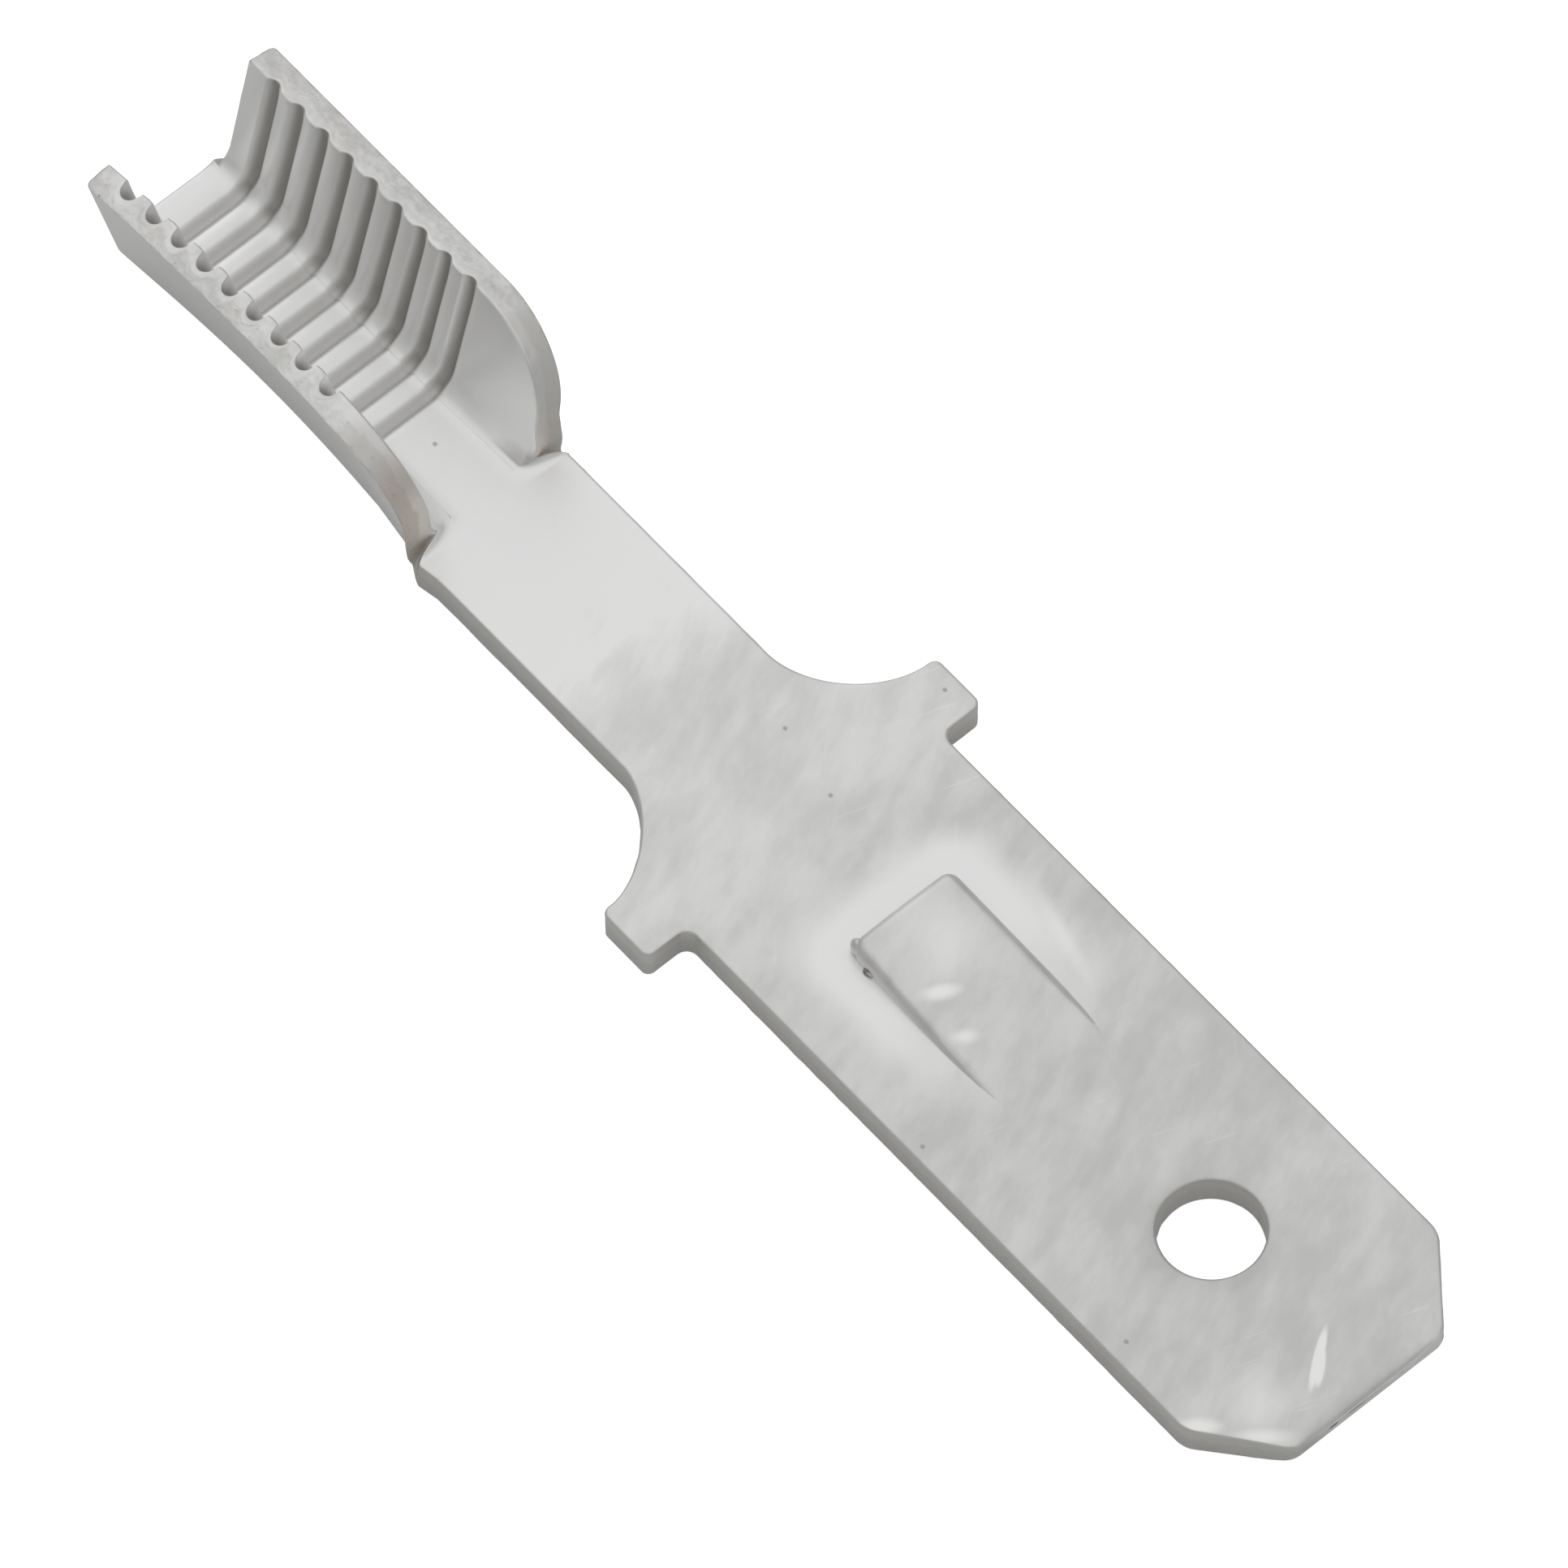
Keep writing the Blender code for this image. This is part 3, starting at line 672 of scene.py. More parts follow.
class Press:
    """Where each point of the flat blank lies after it is coined, serrated and folded."""

    def __init__(self, scene, at):
        self.at = at
        self.sheet = scene.spade_sheet
        self.tab = scene.spade_tab
        self.barrel = scene.spade_barrel
        self.serrations = scene.spade_serrations
        self.lance = scene.spade_lance

    def fold_share(self, x):
        at = self.at
        return 1 - smooth_step((x - at.unfold_start) / (at.unfold_end - at.unfold_start))

    def groove_shape(self, x):
        """One on the floor of a serration, falling softly to none at its rims."""
        distance = min(abs(x - centre) for centre in self.at.serrations)
        flank = (self.serrations.width - self.serrations.floor_width) / 2
        return 1 - smooth_step((distance - self.serrations.floor_width / 2) / flank)

    def notch_shape(self, x):
        """The round outline of a bite at the wing's top: one in its middle, none at its ends."""
        distance = min(abs(x - centre) for centre in self.at.serrations)
        return math.sqrt(max(1 - (2 * distance / self.serrations.width) ** 2, 0.0))

    def groove(self, x, y):
        """Depth of the serrations: uneven, bitten into the left wing's top, faint at the right's."""
        along_wave, across_wave = GROOVE_WAVES
        uneven = GROOVE_UNEVENNESS * noise.noise(Vector((x * along_wave, y * across_wave, 3)))
        depth = self.serrations.depth * (1 + uneven)
        from_top = self.at.wing_edge - abs(y)
        if y < 0:
            bite = smooth_step(1 - from_top / BITE_REACH)
            shape = self.groove_shape(x) * (1 - bite) + self.notch_shape(x) * bite
            return (depth + self.serrations.notch * bite) * shape
        fade = self.serrations.top_fade * smooth_step(1 - from_top / FADE_REACH)
        return depth * (1 - fade) * self.groove_shape(x)

    def lobe(self, x):
        """How full the metal stands between two serrations: one in the middle, none in a groove."""
        first, last = self.at.serrations[0], self.at.serrations[-1]
        if x < first - self.serrations.pitch or x > last:
            return 0.0
        phase = (x - first) / self.serrations.pitch
        return (0.5 - 0.5 * math.cos(math.tau * phase)) ** 2

    def end_roll(self, x):
        """How far the wings' outer face rolls in at their rear end."""
        into_end = min(max(1 - (x - self.at.rear) / self.barrel.end_rounding, 0.0), 1.0)
        return self.barrel.end_rounding * (1 - math.sqrt(1 - into_end**2))

    def fillet_rise(self, past_tangent):
        """How far the fillet inside the bend stands off the flat that it leaves."""
        inner = self.barrel.inner_bend_radius
        return inner - math.sqrt(inner**2 - max(past_tangent, 0.0) ** 2)

    def thickness(self, x, along):
        """The sheet's thickness after coining, which thins the wings and fills the bend's inside."""
        at = self.at
        barrel = self.barrel
        full = self.sheet.thickness
        if along <= at.fold_start:
            coined = full + self.fillet_rise(along - at.fillet_start)
        elif along <= at.fold_end:
            turn = (along - at.fold_start) / barrel.bend_radius
            towards = at.fillet_out * math.sin(turn) - at.fillet_up * math.cos(turn)
            beyond = barrel.inner_bend_radius**2 - at.fillet_out**2 - at.fillet_up**2
            coined = barrel.bend_radius - towards - math.sqrt(towards**2 + beyond)
        else:
            part = (along - at.fold_end) / (at.wing_edge - at.fold_end)
            coined = barrel.wing_thickness + (barrel.wing_top_thickness - barrel.wing_thickness) * part
            coined += self.fillet_rise(at.fillet_end - along)
        return full + (coined - full) * self.fold_share(x)

    def tip(self, x, y, height):
        """The wedge at the tip, whose end rolls over into a blunt nose."""
        middle = self.sheet.thickness / 2
        part = (x - self.at.tip + self.tab.lead_in_length) / self.tab.lead_in_length
        wedge = 1 + (self.tab.tip_thickness / self.sheet.thickness - 1) * part
        rise = middle + (height - middle) * wedge
        into_nose = min(max((x - self.at.tip + self.tab.nose_length) / self.tab.nose_length, 0), 1)
        roll = 1 - math.sqrt(1 - into_nose**2)
        from_corner = smooth_step((self.tab.tip_width / 2 - abs(y)) / self.tab.nose_corner_width)
        corner_drop = self.tab.nose_corner_drop
        drop = corner_drop + (self.tab.nose_drop - corner_drop) * from_corner
        above_middle = (height - middle) / middle
        rise -= roll * above_middle * (drop if above_middle > 0 else self.tab.nose_foot_rise)
        return Vector((x, y, rise))

    def lance_top(self, x, y, height):
        """The crown of the lance's top."""
        above = height - self.sheet.thickness
        half = self.lance.front_width / 2
        if above < NEAR or abs(y) > half + NEAR:
            return height
        bulge = self.lance.crown * (1 - (y / half) ** 2) * min(above / self.lance.rounding, 1)
        return height + bulge

    def folded(self, x, y, height):
        """The barrel's place: rolled up about the fold's outer face, with its bow, waist and lean."""
        at = self.at
        barrel = self.barrel
        side = -1.0 if y < 0 else 1.0
        along = abs(y)
        share_closed = self.fold_share(x)
        level = height / self.sheet.thickness
        rise = level * (self.thickness(x, along) - self.groove(x, y))
        if along <= at.fold_start or share_closed == 0:
            return Vector((x, y, rise))
        onto_wing = smooth_step((along - at.fold_start) / MM)
        near_top = smooth_step((along - at.wing_edge + LOBE_REACH) / LOBE_BLEND)
        rise += self.serrations.lobe * self.lobe(x) * near_top * level**4
        rise += self.end_roll(x) * (1 - level) * onto_wing
        radius = barrel.bend_radius / share_closed
        turn = min((along - at.fold_start) / radius, at.fold_angle * share_closed)
        straight = max(along - at.fold_end, 0.0)
        out = at.fold_start + radius * math.sin(turn) + straight * math.cos(turn) - rise * math.sin(turn)
        up = radius * (1 - math.cos(turn)) + straight * math.sin(turn) + rise * math.cos(turn)
        part = min(max((x - at.rear) / barrel.length, 0.0), 1.0)
        bow = math.sin(math.pi * part)
        lift = min(up / barrel.wing_height, 1)
        out -= barrel.foot_waist * bow * (1 - lift)
        if side < 0:
            out -= barrel.left_bow * bow * onto_wing
        else:
            out += barrel.right_lean * lift
        return Vector((x, side * out, up))

    def root_swell(self, x, y, up):
        """How far the left edge swells out about the wings' root, most at its foot."""
        at = self.at
        away = min(abs(x - at.root) / self.barrel.swell_reach, 1.0)
        nearness = 0.5 + 0.5 * math.cos(math.pi * away)
        outwards = smooth_step((-y - at.fold_start) / (at.neck_side - at.fold_start))
        lift = min(up / self.barrel.wing_height, 1)
        return self.barrel.root_swell * nearness * outwards * (1 - lift)

    def edge_wander(self, place):
        """Small unevenness of the sheared faces."""
        scaled = place * WANDER_WAVES
        stray = Vector((noise.noise(scaled), noise.noise(scaled + Vector((7, 3, 1))), 0))
        return stray * self.sheet.edge_wander

    def formed(self, place, on_cut):
        """The finished place of a point of the blank, kept within the solid's box."""
        x, y, height = place
        if x > self.at.tip - self.tab.lead_in_length:
            moved = self.tip(x, y, height)
        elif x > self.at.unfold_end:
            moved = Vector((x, y, self.lance_top(x, y, height)))
        else:
            moved = self.folded(x, y, height)
        moved.y -= self.root_swell(x, y, moved.z)
        if on_cut:
            moved += self.edge_wander(Vector(place))
        return Vector([min(max(value, low), high) for value, low, high in zip(moved, LOW, HIGH)])


def press_blank(scene, at, blank):
    """Gives every point its place in the finished terminal and keeps its place in the flat sheet."""
    press = Press(scene, at)
    mesh = blank.data
    on_cut = set()
    for polygon in mesh.polygons:
        if abs(polygon.normal.z) < CUT_SLOPE:
            on_cut.update(polygon.vertices)
    mesh.attributes.new("flat_place", "FLOAT_VECTOR", "POINT")
    mesh.attributes.new("groove", "FLOAT", "POINT")
    flat = mesh.attributes["flat_place"].data
    groove = mesh.attributes["groove"].data
    for index, vertex in enumerate(mesh.vertices):
        flat[index].vector = vertex.co / MM
        if vertex.co.x < at.root:
            level = vertex.co.z / press.sheet.thickness
            groove[index].value = press.groove_shape(vertex.co.x) * smooth_step(level * 2 - 1)
        vertex.co = press.formed(vertex.co, index in on_cut)
    mesh.update()


class ShaderTree:
    """Adds nodes to a material or a group, and links them as they are made."""

    def __init__(self, tree):
        self.tree = tree

    def fed(self, node, output, inputs):
        """Feeds a node's inputs by name and gives back one of its outputs."""
        for name, value in inputs.items():
            self.feed(node.inputs[name.replace("_", " ")], value)
        return node.outputs[output]

    def add(self, kind, output=0, **inputs):
        return self.fed(self.tree.nodes.new(kind), output, inputs)

    def feed(self, socket, value):
        if isinstance(value, bpy.types.NodeSocket):
            self.tree.links.new(value, socket)
        else:
            socket.default_value = value

    def maths(self, operation, *values):
        node = self.tree.nodes.new("ShaderNodeMath")
        node.operation = operation
        for socket, value in zip(node.inputs, values):
            self.feed(socket, value)
        return node.outputs[0]

    def times(self, first, second):
        return self.maths("MULTIPLY", first, second)

    def plus(self, first, second):
        return self.maths("ADD", first, second)

    def minus(self, first, second):
        return self.maths("SUBTRACT", first, second)

    def opposite(self, mask):
        """One where the mask is none, and none where it is one."""
        return self.minus(1.0, mask)

    def attribute(self, name, output):
        node = self.tree.nodes.new("ShaderNodeAttribute")
        node.attribute_name = name
        return node.outputs[output]

    def ramp(self, value, low, high):
        """Zero below low and one above high, smooth between."""
        node = self.tree.nodes.new("ShaderNodeMapRange")
        node.interpolation_type = "SMOOTHSTEP"
        self.feed(node.inputs["Value"], value)
        node.inputs["From Min"].default_value = low
        node.inputs["From Max"].default_value = high
        return node.outputs["Result"]

    def blend(self, factor, first, second):
        node = self.tree.nodes.new("ShaderNodeMix")
        node.data_type = "RGBA"
        self.feed(node.inputs["Factor"], factor)
        self.feed(node.inputs["A"], first)
        self.feed(node.inputs["B"], second)
        return node.outputs["Result"]

    def stretched(self, place, heading, scale, middle=(0, 0, 0)):
        """The place as seen from a middle, turned by degrees and measured in a scale."""
        mapping = self.tree.nodes.new("ShaderNodeMapping")
        mapping.vector_type = "TEXTURE"
        self.feed(mapping.inputs["Vector"], place)
        mapping.inputs["Location"].default_value = middle
        mapping.inputs["Rotation"].default_value = (0, 0, math.radians(heading))
        mapping.inputs["Scale"].default_value = scale
        return mapping.outputs[0]

    def streaks(self, place, scale, heading, stretch, detail):
        """Noise drawn out along a heading in the sheet, which is in degrees."""
        drawn_out = self.stretched(place, heading, (stretch / scale, 1 / scale, 1 / scale))
        return self.add("ShaderNodeTexNoise", Vector=drawn_out, Scale=1.0, Detail=detail, Roughness=0.6)

    def spot(self, place, mark):
        """A mark's ellipse: one at its middle, fading to none at its border."""
        size = self.tree.nodes.new("ShaderNodeVectorMath")
        size.operation = "LENGTH"
        within = self.stretched(place, mark.heading, (*mark.reach, MARK_DEPTH), (*mark.centre, mark.height))
        self.feed(size.inputs[0], within)
        return self.opposite(self.ramp(size.outputs["Value"], mark.firmness, 1.0))

    def strongest(self, first, *others):
        for other in others:
            first = self.maths("MAXIMUM", first, other)
        return first


def rgba(value):
    return (*value, 1.0)


def new_group(name, numbers, outputs):
    """A node group that takes a place and some numbers with their defaults, and gives numbers."""
    group = bpy.data.node_groups.new(name, "ShaderNodeTree")
    group.interface.new_socket("Place", in_out="INPUT", socket_type="NodeSocketVector")
    for socket_name, default in numbers.items():
        socket = group.interface.new_socket(socket_name, in_out="INPUT", socket_type="NodeSocketFloat")
        socket.default_value = default
    for socket_name in outputs:
        group.interface.new_socket(socket_name, in_out="OUTPUT", socket_type="NodeSocketFloat")
    tree = ShaderTree(group)
    entry = group.nodes.new("NodeGroupInput")
    leave = group.nodes.new("NodeGroupOutput")
    return group, tree, entry.outputs, leave.inputs


def satin_mottle():
    """Cloudy, streaked satin of tin plating: a tone from dull to bright, and a fine height."""
    group, tree, given, result = new_group("satin_mottle", {"Cloud Size": 1.0}, ["Tone", "Height"])
    sized = tree.tree.nodes.new("ShaderNodeVectorMath")
    sized.operation = "SCALE"
    tree.feed(sized.inputs[0], given["Place"])
    tree.feed(sized.inputs["Scale"], tree.maths("DIVIDE", 1.0, given["Cloud Size"]))
    place = sized.outputs[0]
    clouds = tree.add("ShaderNodeTexNoise", Vector=place, Scale=0.45, Detail=3.0, Roughness=0.55)
    strokes = tree.streaks(place, scale=2.2, heading=110, stretch=3.2, detail=4.0)
    crossing = tree.streaks(place, scale=1.6, heading=128, stretch=2.5, detail=3.0)
    grain = tree.add("ShaderNodeTexNoise", Vector=place, Scale=9.0, Detail=4.0, Roughness=0.6)
    tone = tree.plus(tree.times(clouds, 0.4), tree.times(strokes, 0.35))
    tone = tree.plus(tone, tree.times(crossing, 0.25))
    tree.feed(result["Tone"], tree.ramp(tone, 0.36, 0.64))
    tree.feed(result["Height"], tree.plus(grain, tree.times(strokes, 0.6)))
    return group


def fine_scratches():
    """Thin broken scratches that run close to one direction in the sheet."""
    group, tree, given, result = new_group("fine_scratches", {"Turn": 0.0, "Amount": 0.5}, ["Mask"])
    turned = tree.add(
        "ShaderNodeVectorRotate", Vector=given["Place"], Angle=given["Turn"], Axis=(0.0, 0.0, 1.0)
    )
    lines = tree.streaks(turned, scale=9.0, heading=0, stretch=22.0, detail=2.0)
    breaks = tree.add("ShaderNodeTexNoise", Vector=turned, Scale=0.9, Detail=2.0)
    broken_lines = tree.times(tree.ramp(lines, 0.66, 0.72), tree.ramp(breaks, 0.48, 0.62))
    tree.feed(result["Mask"], tree.times(broken_lines, given["Amount"]))
    return group


def specks():
    """A few small round pits, scattered over the sheet."""
    group, tree, given, result = new_group("specks", {"Spacing": 2.5, "Radius": 0.05}, ["Mask"])
    cells = tree.tree.nodes.new("ShaderNodeTexVoronoi")
    cells.feature = "F1"
    tree.feed(cells.inputs["Vector"], given["Place"])
    tree.feed(cells.inputs["Scale"], tree.maths("DIVIDE", 1.0, given["Spacing"]))
    reach = tree.times(cells.outputs["Distance"], given["Spacing"])
    chosen = tree.add("ShaderNodeSeparateColor", Color=cells.outputs["Color"])
    size = tree.times(given["Radius"], tree.ramp(chosen, 0.35, 0.8))
    never_zero = tree.plus(size, 0.0001)
    inside = tree.opposite(tree.maths("DIVIDE", reach, never_zero))
    tree.feed(result["Mask"], tree.ramp(inside, 0.0, 0.5))
    return group


def place_group(tree, group, output, **inputs):
    node = tree.tree.nodes.new("ShaderNodeGroup")
    node.node_tree = group
    return tree.fed(node, output, inputs)


def new_material(name, viewport):
    material = bpy.data.materials.new(name)
    material.use_nodes = True
    material.diffuse_color = rgba(viewport)
    shader = material.node_tree.nodes["Principled BSDF"]
    return material, ShaderTree(material.node_tree), shader


def sheet_place(tree):
    """The point's place in the flat sheet, in millimetres, as a vector and as three numbers."""
    place = tree.attribute("flat_place", "Vector")
    split = tree.tree.nodes.new("ShaderNodeSeparateXYZ")
    tree.feed(split.inputs[0], place)
    return place, split.outputs


def burnished_ring(tree, at, lance, split):
    """The smooth band that the die leaves around the lance, fading towards the tip."""
    x, y, height = split
    half_width = lance.rear_width / 2 / MM
    behind = tree.maths("MAXIMUM", tree.minus(at.lance_rear / MM, x), 0.0)
    beside = tree.maths("MAXIMUM", tree.minus(tree.maths("ABSOLUTE", y), half_width), 0.0)
    reach = tree.maths("SQRT", tree.plus(tree.times(behind, behind), tree.times(beside, beside)))
    near = tree.opposite(tree.ramp(reach, 0.5, 1.35))
    fade = tree.opposite(tree.ramp(x, at.lance_rear / MM + 1.2, at.hinge / MM))
    low = tree.opposite(tree.ramp(height, 0.81, 0.86))
    return tree.times(tree.times(near, fade), low)


def rolled_neck(tree, at, split):
    """The part behind a slanting line across the neck, which the forming tool has smoothed."""
    slant = 0.22
    middle = at.ear_rear / MM - 5.1
    line = tree.plus(split[0], tree.times(split[1], slant))
    return tree.opposite(tree.ramp(line, middle - 0.25, middle + 0.25))


def rubbed_spots_and_highlights(tree, place):
    """The bright marks of the top, rubbed spots and painted highlights, the soft ones fainter than the firm
    ones.
    """
    firm = [tree.spot(place, mark) for mark in FIRM_MARKS_AND_HIGHLIGHTS.values()]
    soft = tree.strongest(*[tree.spot(place, mark) for mark in SOFT_MARKS.values()])
    return tree.strongest(*firm, tree.times(soft, 0.6))


def small_pits(tree, groups, place):
    """The pits seen in the sheet's top, and a few more scattered over it."""
    named = [tree.spot(place, Mark(centre, (0.07, 0.06), firmness=0.4)) for centre in PITS]
    scattered = place_group(tree, groups["specks"], "Mask", Place=place, Spacing=2.6, Radius=0.05)
    return tree.strongest(scattered, *named)


def thin_scratches(tree, groups, place):
    """The two sets of fine scratches, each in its own direction."""
    sets = []
    for turn, amount in SCRATCHES:
        turned = math.radians(turn)
        sets.append(place_group(tree, groups["scratches"], "Mask", Place=place, Turn=turned, Amount=amount))
    return tree.strongest(*sets)


def satin_tone(scene, tree, at, groups, place, split):
    """The plating's tone from dull to bright: mottled, and even where a tool has smoothed it."""
    ear_rear = at.ear_rear / MM
    hole_x = at.tip / MM - scene.spade_tab.hole_from_tip / MM
    mottle = place_group(tree, groups["mottle"], "Tone", Place=place, Cloud_Size=1.0)
    rim_shade = tree.spot(place, Mark((hole_x + 0.1, -0.2), (1.5, 1.5), firmness=0.5))
    wiped = tree.opposite(tree.ramp(split[0], ear_rear - 4.8, ear_rear - 1.8))
    lighter = tree.opposite(tree.ramp(split[0], ear_rear, at.lance_rear / MM))
    satin = tree.plus(tree.times(mottle, 0.42), 0.12)
    satin = tree.minus(satin, tree.times(rim_shade, 0.3))
    satin = tree.plus(satin, tree.times(wiped, 0.45))
    satin = tree.plus(satin, tree.times(lighter, 0.22))
    smooth = tree.times(rolled_neck(tree, at, split), 0.9)
    even = tree.strongest(smooth, burnished_ring(tree, at, scene.spade_lance, split))
    return tree.plus(tree.times(satin, tree.opposite(even)), even)


def groove_and_root_shade(tree, at, place, split, groove):
    """Painted shade: darker in the grooves, more on the wings, and a painted shadow in the right wing's
    root.
    """
    on_wing = tree.ramp(tree.maths("ABSOLUTE", split[1]), at.fold_start / MM, at.fold_end / MM)
    # Painted shade in the grooves, stronger on the wings
    groove_shade = tree.times(groove, tree.plus(tree.times(on_wing, 0.35), 0.45))
    # Painted shadow under the right wing's foot
    root_shadow = tree.spot(place, Mark((at.root / MM - 0.25, 1.95), (0.9, 0.5), 10))
    return tree.strongest(groove_shade, tree.times(root_shadow, 0.6))


def plated_material(scene, at, groups):
    """Satin tin plating with its bright marks and painted highlights, pits, and painted shade in the
    grooves and at the right wing's root.
    """
    look = scene.spade_plating
    material, tree, shader = new_material("tin_plate", look.tin)
    place, split = sheet_place(tree)
    tone = satin_tone(scene, tree, at, groups, place, split)
    height = place_group(tree, groups["mottle"], "Height", Place=place, Cloud_Size=1.0)
    marks = thin_scratches(tree, groups, place)
    # Rubbed spots together with painted highlights at the tip and on the lance's crest
    rubbed = rubbed_spots_and_highlights(tree, place)
    pits = small_pits(tree, groups, place)
    groove = tree.attribute("groove", "Fac")
    colour_now = tree.blend(tone, rgba(look.tin_shade), rgba(look.tin))
    # Scratches, rubbed spots and painted highlights, in the bright metal colour
    colour_now = tree.blend(tree.strongest(tree.times(marks, 0.5), rubbed), colour_now, rgba(look.bright))
    colour_now = tree.blend(tree.times(pits, 0.6), colour_now, rgba(look.grime_and_shade))
    # Painted shade in the grooves and painted shadow at the right wing's root
    colour_now = tree.blend(groove_and_root_shade(tree, at, place, split, groove), colour_now, rgba(look.grime_and_shade))
    tree.feed(shader.inputs["Base Color"], colour_now)
    shader.inputs["Metallic"].default_value = look.metallic
    rough = tree.plus(look.roughness + 0.06, tree.times(tone, -0.1))
    tree.feed(shader.inputs["Roughness"], tree.plus(rough, tree.times(groove, 0.15)))
    relief = tree.minus(height, tree.times(marks, 1.2))
    relief = tree.minus(relief, tree.times(pits, 3.0))
    relief = tree.minus(relief, tree.times(rubbed, 4.0))
    bump = tree.add("ShaderNodeBump", Strength=0.25, Distance=0.004 * MM, Height=relief)
    tree.feed(shader.inputs["Normal"], bump)
    return material


def sheared_material(scene, at, groups):
    """Cut edges: a burnished band near the punch side and torn metal below it."""
    look = scene.spade_plating
    material, tree, shader = new_material("sheared_edge", look.sheared)
    place, split = sheet_place(tree)
    root_x = at.root / MM
    tip_x = at.tip / MM
    tone = place_group(tree, groups["mottle"], "Tone", Place=place, Cloud_Size=0.35)
    burnished = tree.ramp(tree.plus(split[2], tree.times(tone, 0.16)), 0.50, 0.62)
    torn = tree.add("ShaderNodeTexNoise", Vector=place, Scale=7.0, Detail=5.0, Roughness=0.7)
    warm = tree.add("ShaderNodeTexNoise", Vector=place, Scale=1.1, Detail=2.0)
    front_edge = tree.spot(place, Mark((root_x - 0.4, -3.2), (1.7, 1.9), firmness=0.5, height=0.4))
    right_foot = tree.spot(place, Mark((root_x, 2.6), (0.8, 0.9), firmness=0.3, height=0.7))
    warmth = tree.strongest(tree.times(tree.ramp(warm, 0.5, 0.75), 0.35), front_edge, right_foot)
    base = tree.blend(warmth, rgba(look.sheared), rgba(look.brass))
    base = tree.blend(tree.times(burnished, 0.15), base, rgba(look.tin))
    wing_top = tree.ramp(tree.maths("ABSOLUTE", split[1]), at.wing_edge / MM - 0.2, at.wing_edge / MM)
    base = tree.blend(tree.times(wing_top, tree.times(tone, 0.7)), base, rgba(look.tin))
    nose = tree.times(tree.ramp(split[0], tip_x - 0.1, tip_x - 0.02), tree.ramp(split[1], -1.6, -0.7))
    base = tree.blend(tree.times(nose, 0.9), base, rgba(look.tin))
    dark = tree.times(tree.ramp(torn, 0.58, 0.75), tree.minus(0.6, burnished))
    base = tree.blend(tree.maths("MAXIMUM", dark, 0.0), base, rgba(look.grime_and_shade))
    tree.feed(shader.inputs["Base Color"], base)
    shader.inputs["Metallic"].default_value = look.sheared_metallic
    tree.feed(shader.inputs["Roughness"], tree.minus(0.58, tree.times(burnished, 0.14)))
    bump = tree.add("ShaderNodeBump", Strength=0.5, Distance=0.01 * MM, Height=torn)
    tree.feed(shader.inputs["Normal"], bump)
    return material


def plate_blank(scene, at, blank):
    """Gives the blank its two finishes, and the second one to its cut faces."""
    groups = {"mottle": satin_mottle(), "scratches": fine_scratches(), "specks": specks()}
    blank.data.materials.clear()
    blank.data.materials.append(plated_material(scene, at, groups))
    blank.data.materials.append(sheared_material(scene, at, groups))
    for polygon in blank.data.polygons:
        polygon.material_index = 1 if abs(polygon.normal.z) < SHEARED_SLOPE else 0


def finish_terminal(blank):
    make_active(blank)
    bpy.ops.object.shade_smooth_by_angle(angle=math.radians(35))
    apply_modifier(blank, "WEIGHTED_NORMAL", keep_sharp=True)
    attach(blank, "root")
    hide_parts(NODE)


class SPADE_OT_terminal(Operator):
    """Models the terminal from its flat blank and gives it its finish"""

    bl_idname = "spade.terminal"
    bl_label = "Model Terminal"

    def execute(self, context):
        scene = context.scene
        at = Stations(scene)
        blank = lay_out_tab(scene, at)
        lay_out_ears(scene, at)
        lay_out_barrel(scene, at)
        round_blank(scene, at)
        apply_modifier(blank, "SOLIDIFY", thickness=scene.spade_sheet.thickness, offset=0)
        pierce_hole(scene, at, blank)
        roll_edges(scene, at, blank)
        raise_lance(scene, at, blank)
        tear_lance_corner(scene, at, blank)
        cut_fold_lines(scene, at, blank)
        plate_blank(scene, at, blank)
        press_blank(scene, at, blank)
        finish_terminal(blank)
        return {"FINISHED"}


def floor_material(look):
    """A pale floor, which gives back less light to the metal than it shows to the eye."""
    material, tree, shader = new_material("pale_floor", look.floor)
    seen = tree.add("ShaderNodeLightPath", output="Is Camera Ray")
    tone = tree.blend(seen, rgba(look.reflected_floor), rgba(look.floor))
    tree.feed(shader.inputs["Base Color"], tone)
    shader.inputs["Roughness"].default_value = 0.9
    shader.inputs["Emission Color"].default_value = rgba(look.floor)
    tree.feed(shader.inputs["Emission Strength"], tree.times(seen, look.floor_glow))
    return material


def room_light(look):
    """A room whose light is strongest overhead and falls towards the horizon."""
    world = bpy.data.worlds.new("room")
    world.use_nodes = True
    tree = ShaderTree(world.node_tree)
    background = world.node_tree.nodes["Background"]
    towards = tree.add("ShaderNodeTexCoord", output="Generated")
    split = tree.tree.nodes.new("ShaderNodeSeparateXYZ")
    tree.feed(split.inputs[0], towards)
    rise = tree.ramp(split.outputs["Z"], low=0.15, high=0.85)
    above = tree.times(rise, look.sky - look.horizon)
    tree.feed(background.inputs["Strength"], tree.plus(above, look.horizon))
    background.inputs["Color"].default_value = (1.0, 1.0, 1.0, 1.0)
    return world


def direction(azimuth, elevation):
    return Vector(
        (
            math.cos(elevation) * math.cos(azimuth),
            math.cos(elevation) * math.sin(azimuth),
            math.sin(elevation),
        )
    )


def add_light(name, aim, watts, azimuth, elevation, distance, size):
    """A square soft light that looks at the terminal, placed by two angles in degrees."""
    towards = direction(math.radians(azimuth), math.radians(elevation))
    deselect_all()
    bpy.ops.object.light_add(type="AREA", location=aim + towards * distance)
    light = bpy.context.object
    light.name = name
    light.rotation_euler = towards.to_track_quat("Z", "Y").to_euler()
    light.data.shape = "SQUARE"
    light.data.size = size
    light.data.energy = watts


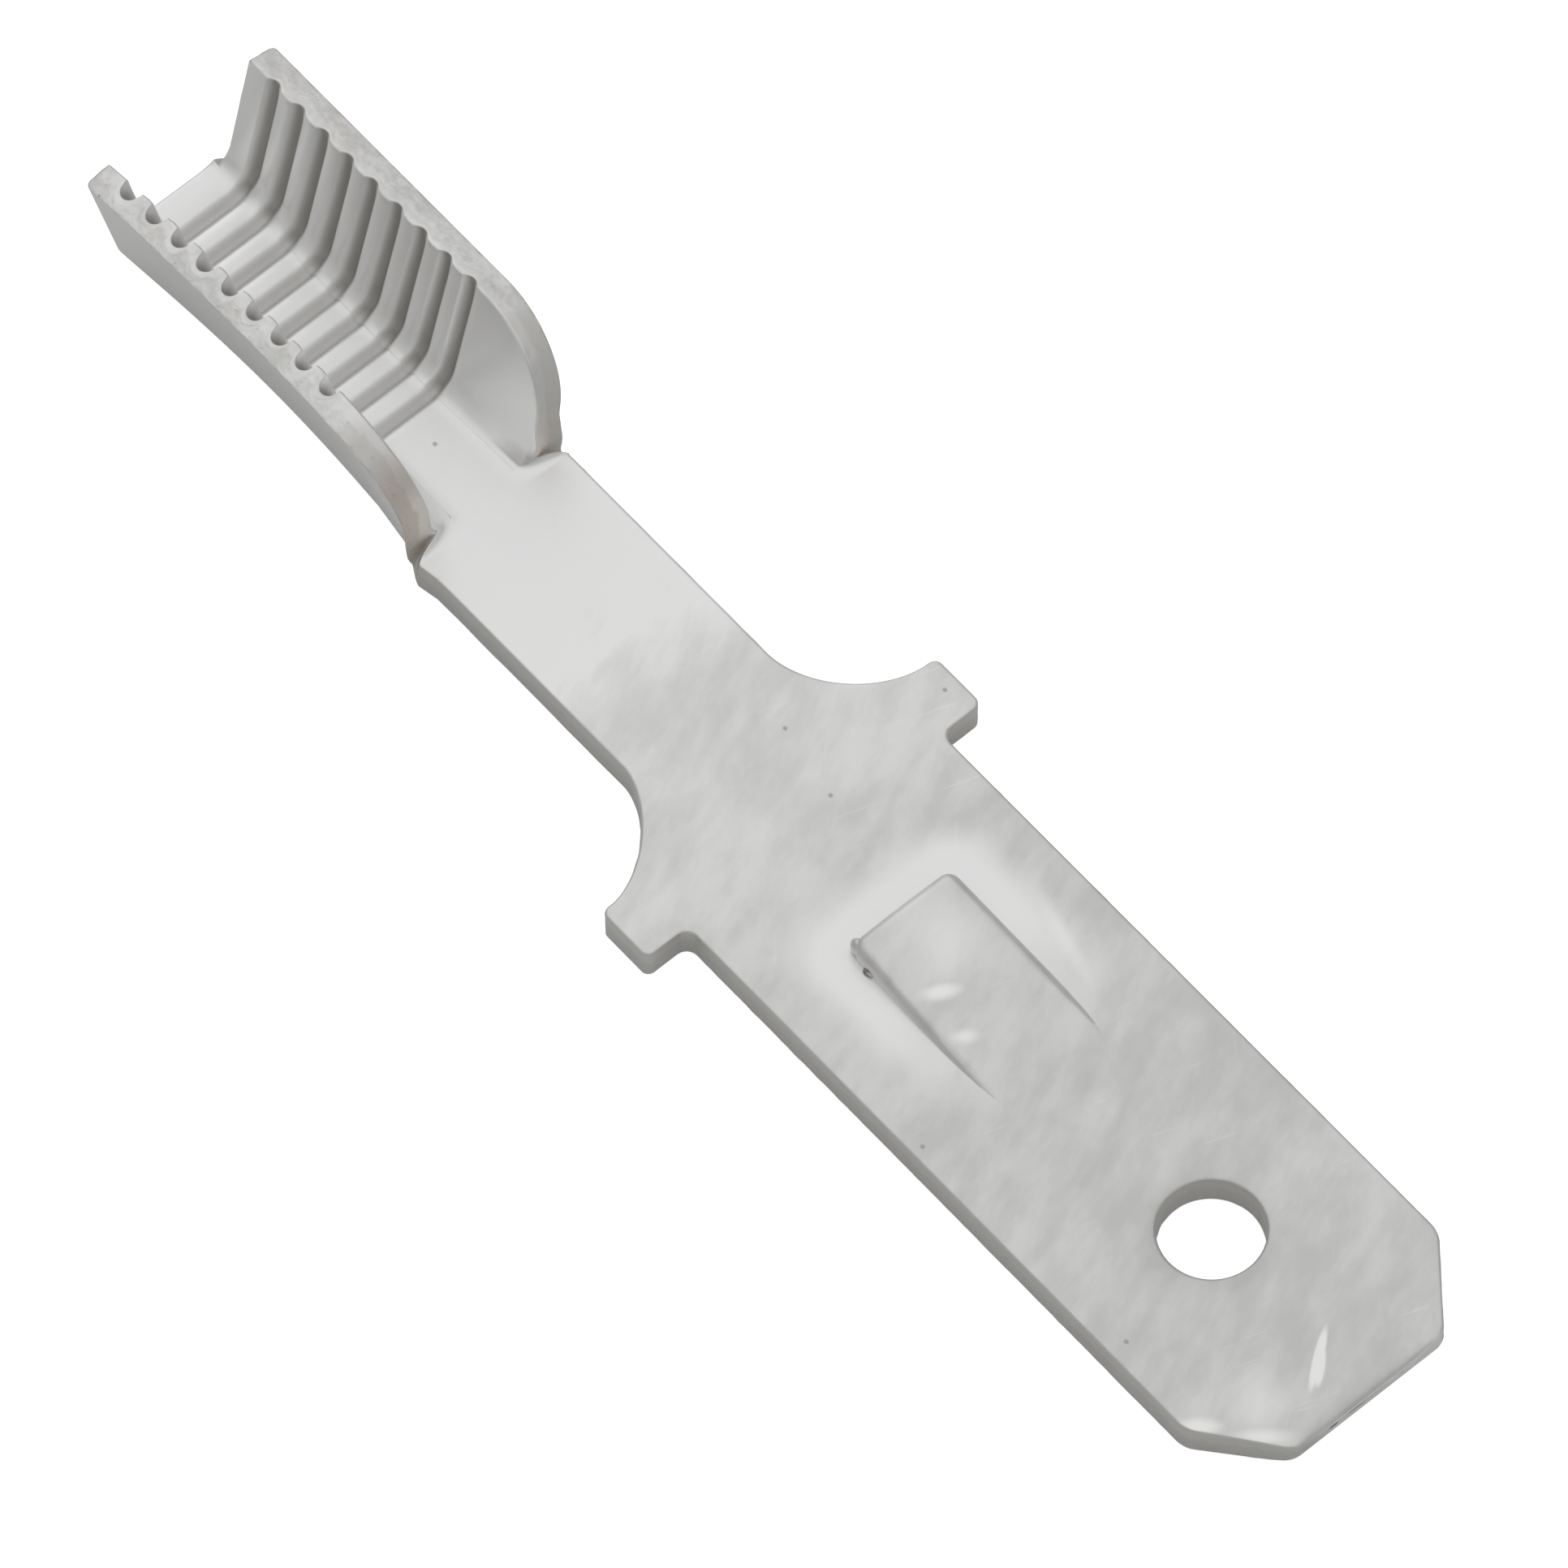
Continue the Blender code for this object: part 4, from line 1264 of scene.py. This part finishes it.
def add_camera(look, aim):
    towards = direction(look.azimuth, look.elevation)
    turned = towards.to_track_quat("Z", "Y").to_matrix() @ Matrix.Rotation(look.roll, 3, "Z")
    deselect_all()
    bpy.ops.object.camera_add(location=aim + towards * look.distance, rotation=turned.to_euler())
    camera = bpy.context.object
    camera.data.sensor_fit = "HORIZONTAL"
    camera.data.sensor_width = 36
    camera.data.lens = look.lens
    camera.data.clip_start = 10 * MM
    camera.data.clip_end = 10
    bpy.context.scene.camera = camera


class SPADE_OT_studio(Operator):
    """Sets the terminal on a pale floor under soft light, before the camera"""

    bl_idname = "spade.studio"
    bl_label = "Set Up Studio"

    def execute(self, context):
        look = context.scene.spade_studio
        aim = Vector((0, look.aim_across, 0))
        deselect_all()
        bpy.ops.mesh.primitive_plane_add(size=2, location=(0, 0, -0.02 * MM))
        floor = bpy.context.object
        floor.name = "floor"
        floor.data.materials.append(floor_material(look))
        add_light("key", aim, look.key, azimuth=155, elevation=28, distance=0.5, size=0.32)
        add_light("fill", aim, look.fill, azimuth=15, elevation=25, distance=0.6, size=0.35)
        add_camera(look, aim)
        context.scene.world = room_light(look)
        context.scene.view_settings.view_transform = "Standard"
        return {"FINISHED"}


SETTINGS = (
    ("spade_sheet", "Sheet", SheetSizes),
    ("spade_tab", "Tab", TabSizes),
    ("spade_ears", "Ears", EarSizes),
    ("spade_barrel", "Neck and Barrel", BarrelSizes),
    ("spade_serrations", "Serrations", SerrationSizes),
    ("spade_lance", "Lance", LanceSizes),
    ("spade_plating", "Plating", PlatingLook),
    ("spade_studio", "Studio", StudioLook),
)
OPERATORS = (SPADE_OT_terminal, SPADE_OT_studio)


class SPADE_PT_panel(Panel):
    """Sizes and looks of the terminal, with a button for each step"""

    bl_idname = "SPADE_PT_panel"
    bl_label = "Spade Terminal"
    bl_space_type = "VIEW_3D"
    bl_region_type = "UI"
    bl_category = "Spade Terminal"

    def draw(self, context):
        for operator in OPERATORS:
            self.layout.operator(operator.bl_idname)
        for attribute, title, group_class in SETTINGS:
            box = self.layout.box()
            box.label(text=title)
            for name in group_class.__annotations__:
                box.prop(getattr(context.scene, attribute), name)


def register():
    for attribute, title, group_class in SETTINGS:
        bpy.utils.register_class(group_class)
        setattr(bpy.types.Scene, attribute, PointerProperty(type=group_class))
    for operator in OPERATORS:
        bpy.utils.register_class(operator)
    bpy.utils.register_class(SPADE_PT_panel)


def unregister():
    bpy.utils.unregister_class(SPADE_PT_panel)
    for operator in reversed(OPERATORS):
        bpy.utils.unregister_class(operator)
    for attribute, title, group_class in reversed(SETTINGS):
        delattr(bpy.types.Scene, attribute)
        bpy.utils.unregister_class(group_class)


def main():
    register()
    bpy.ops.spade.studio()
    bpy.ops.spade.terminal()


if __name__ == "__main__":
    main()
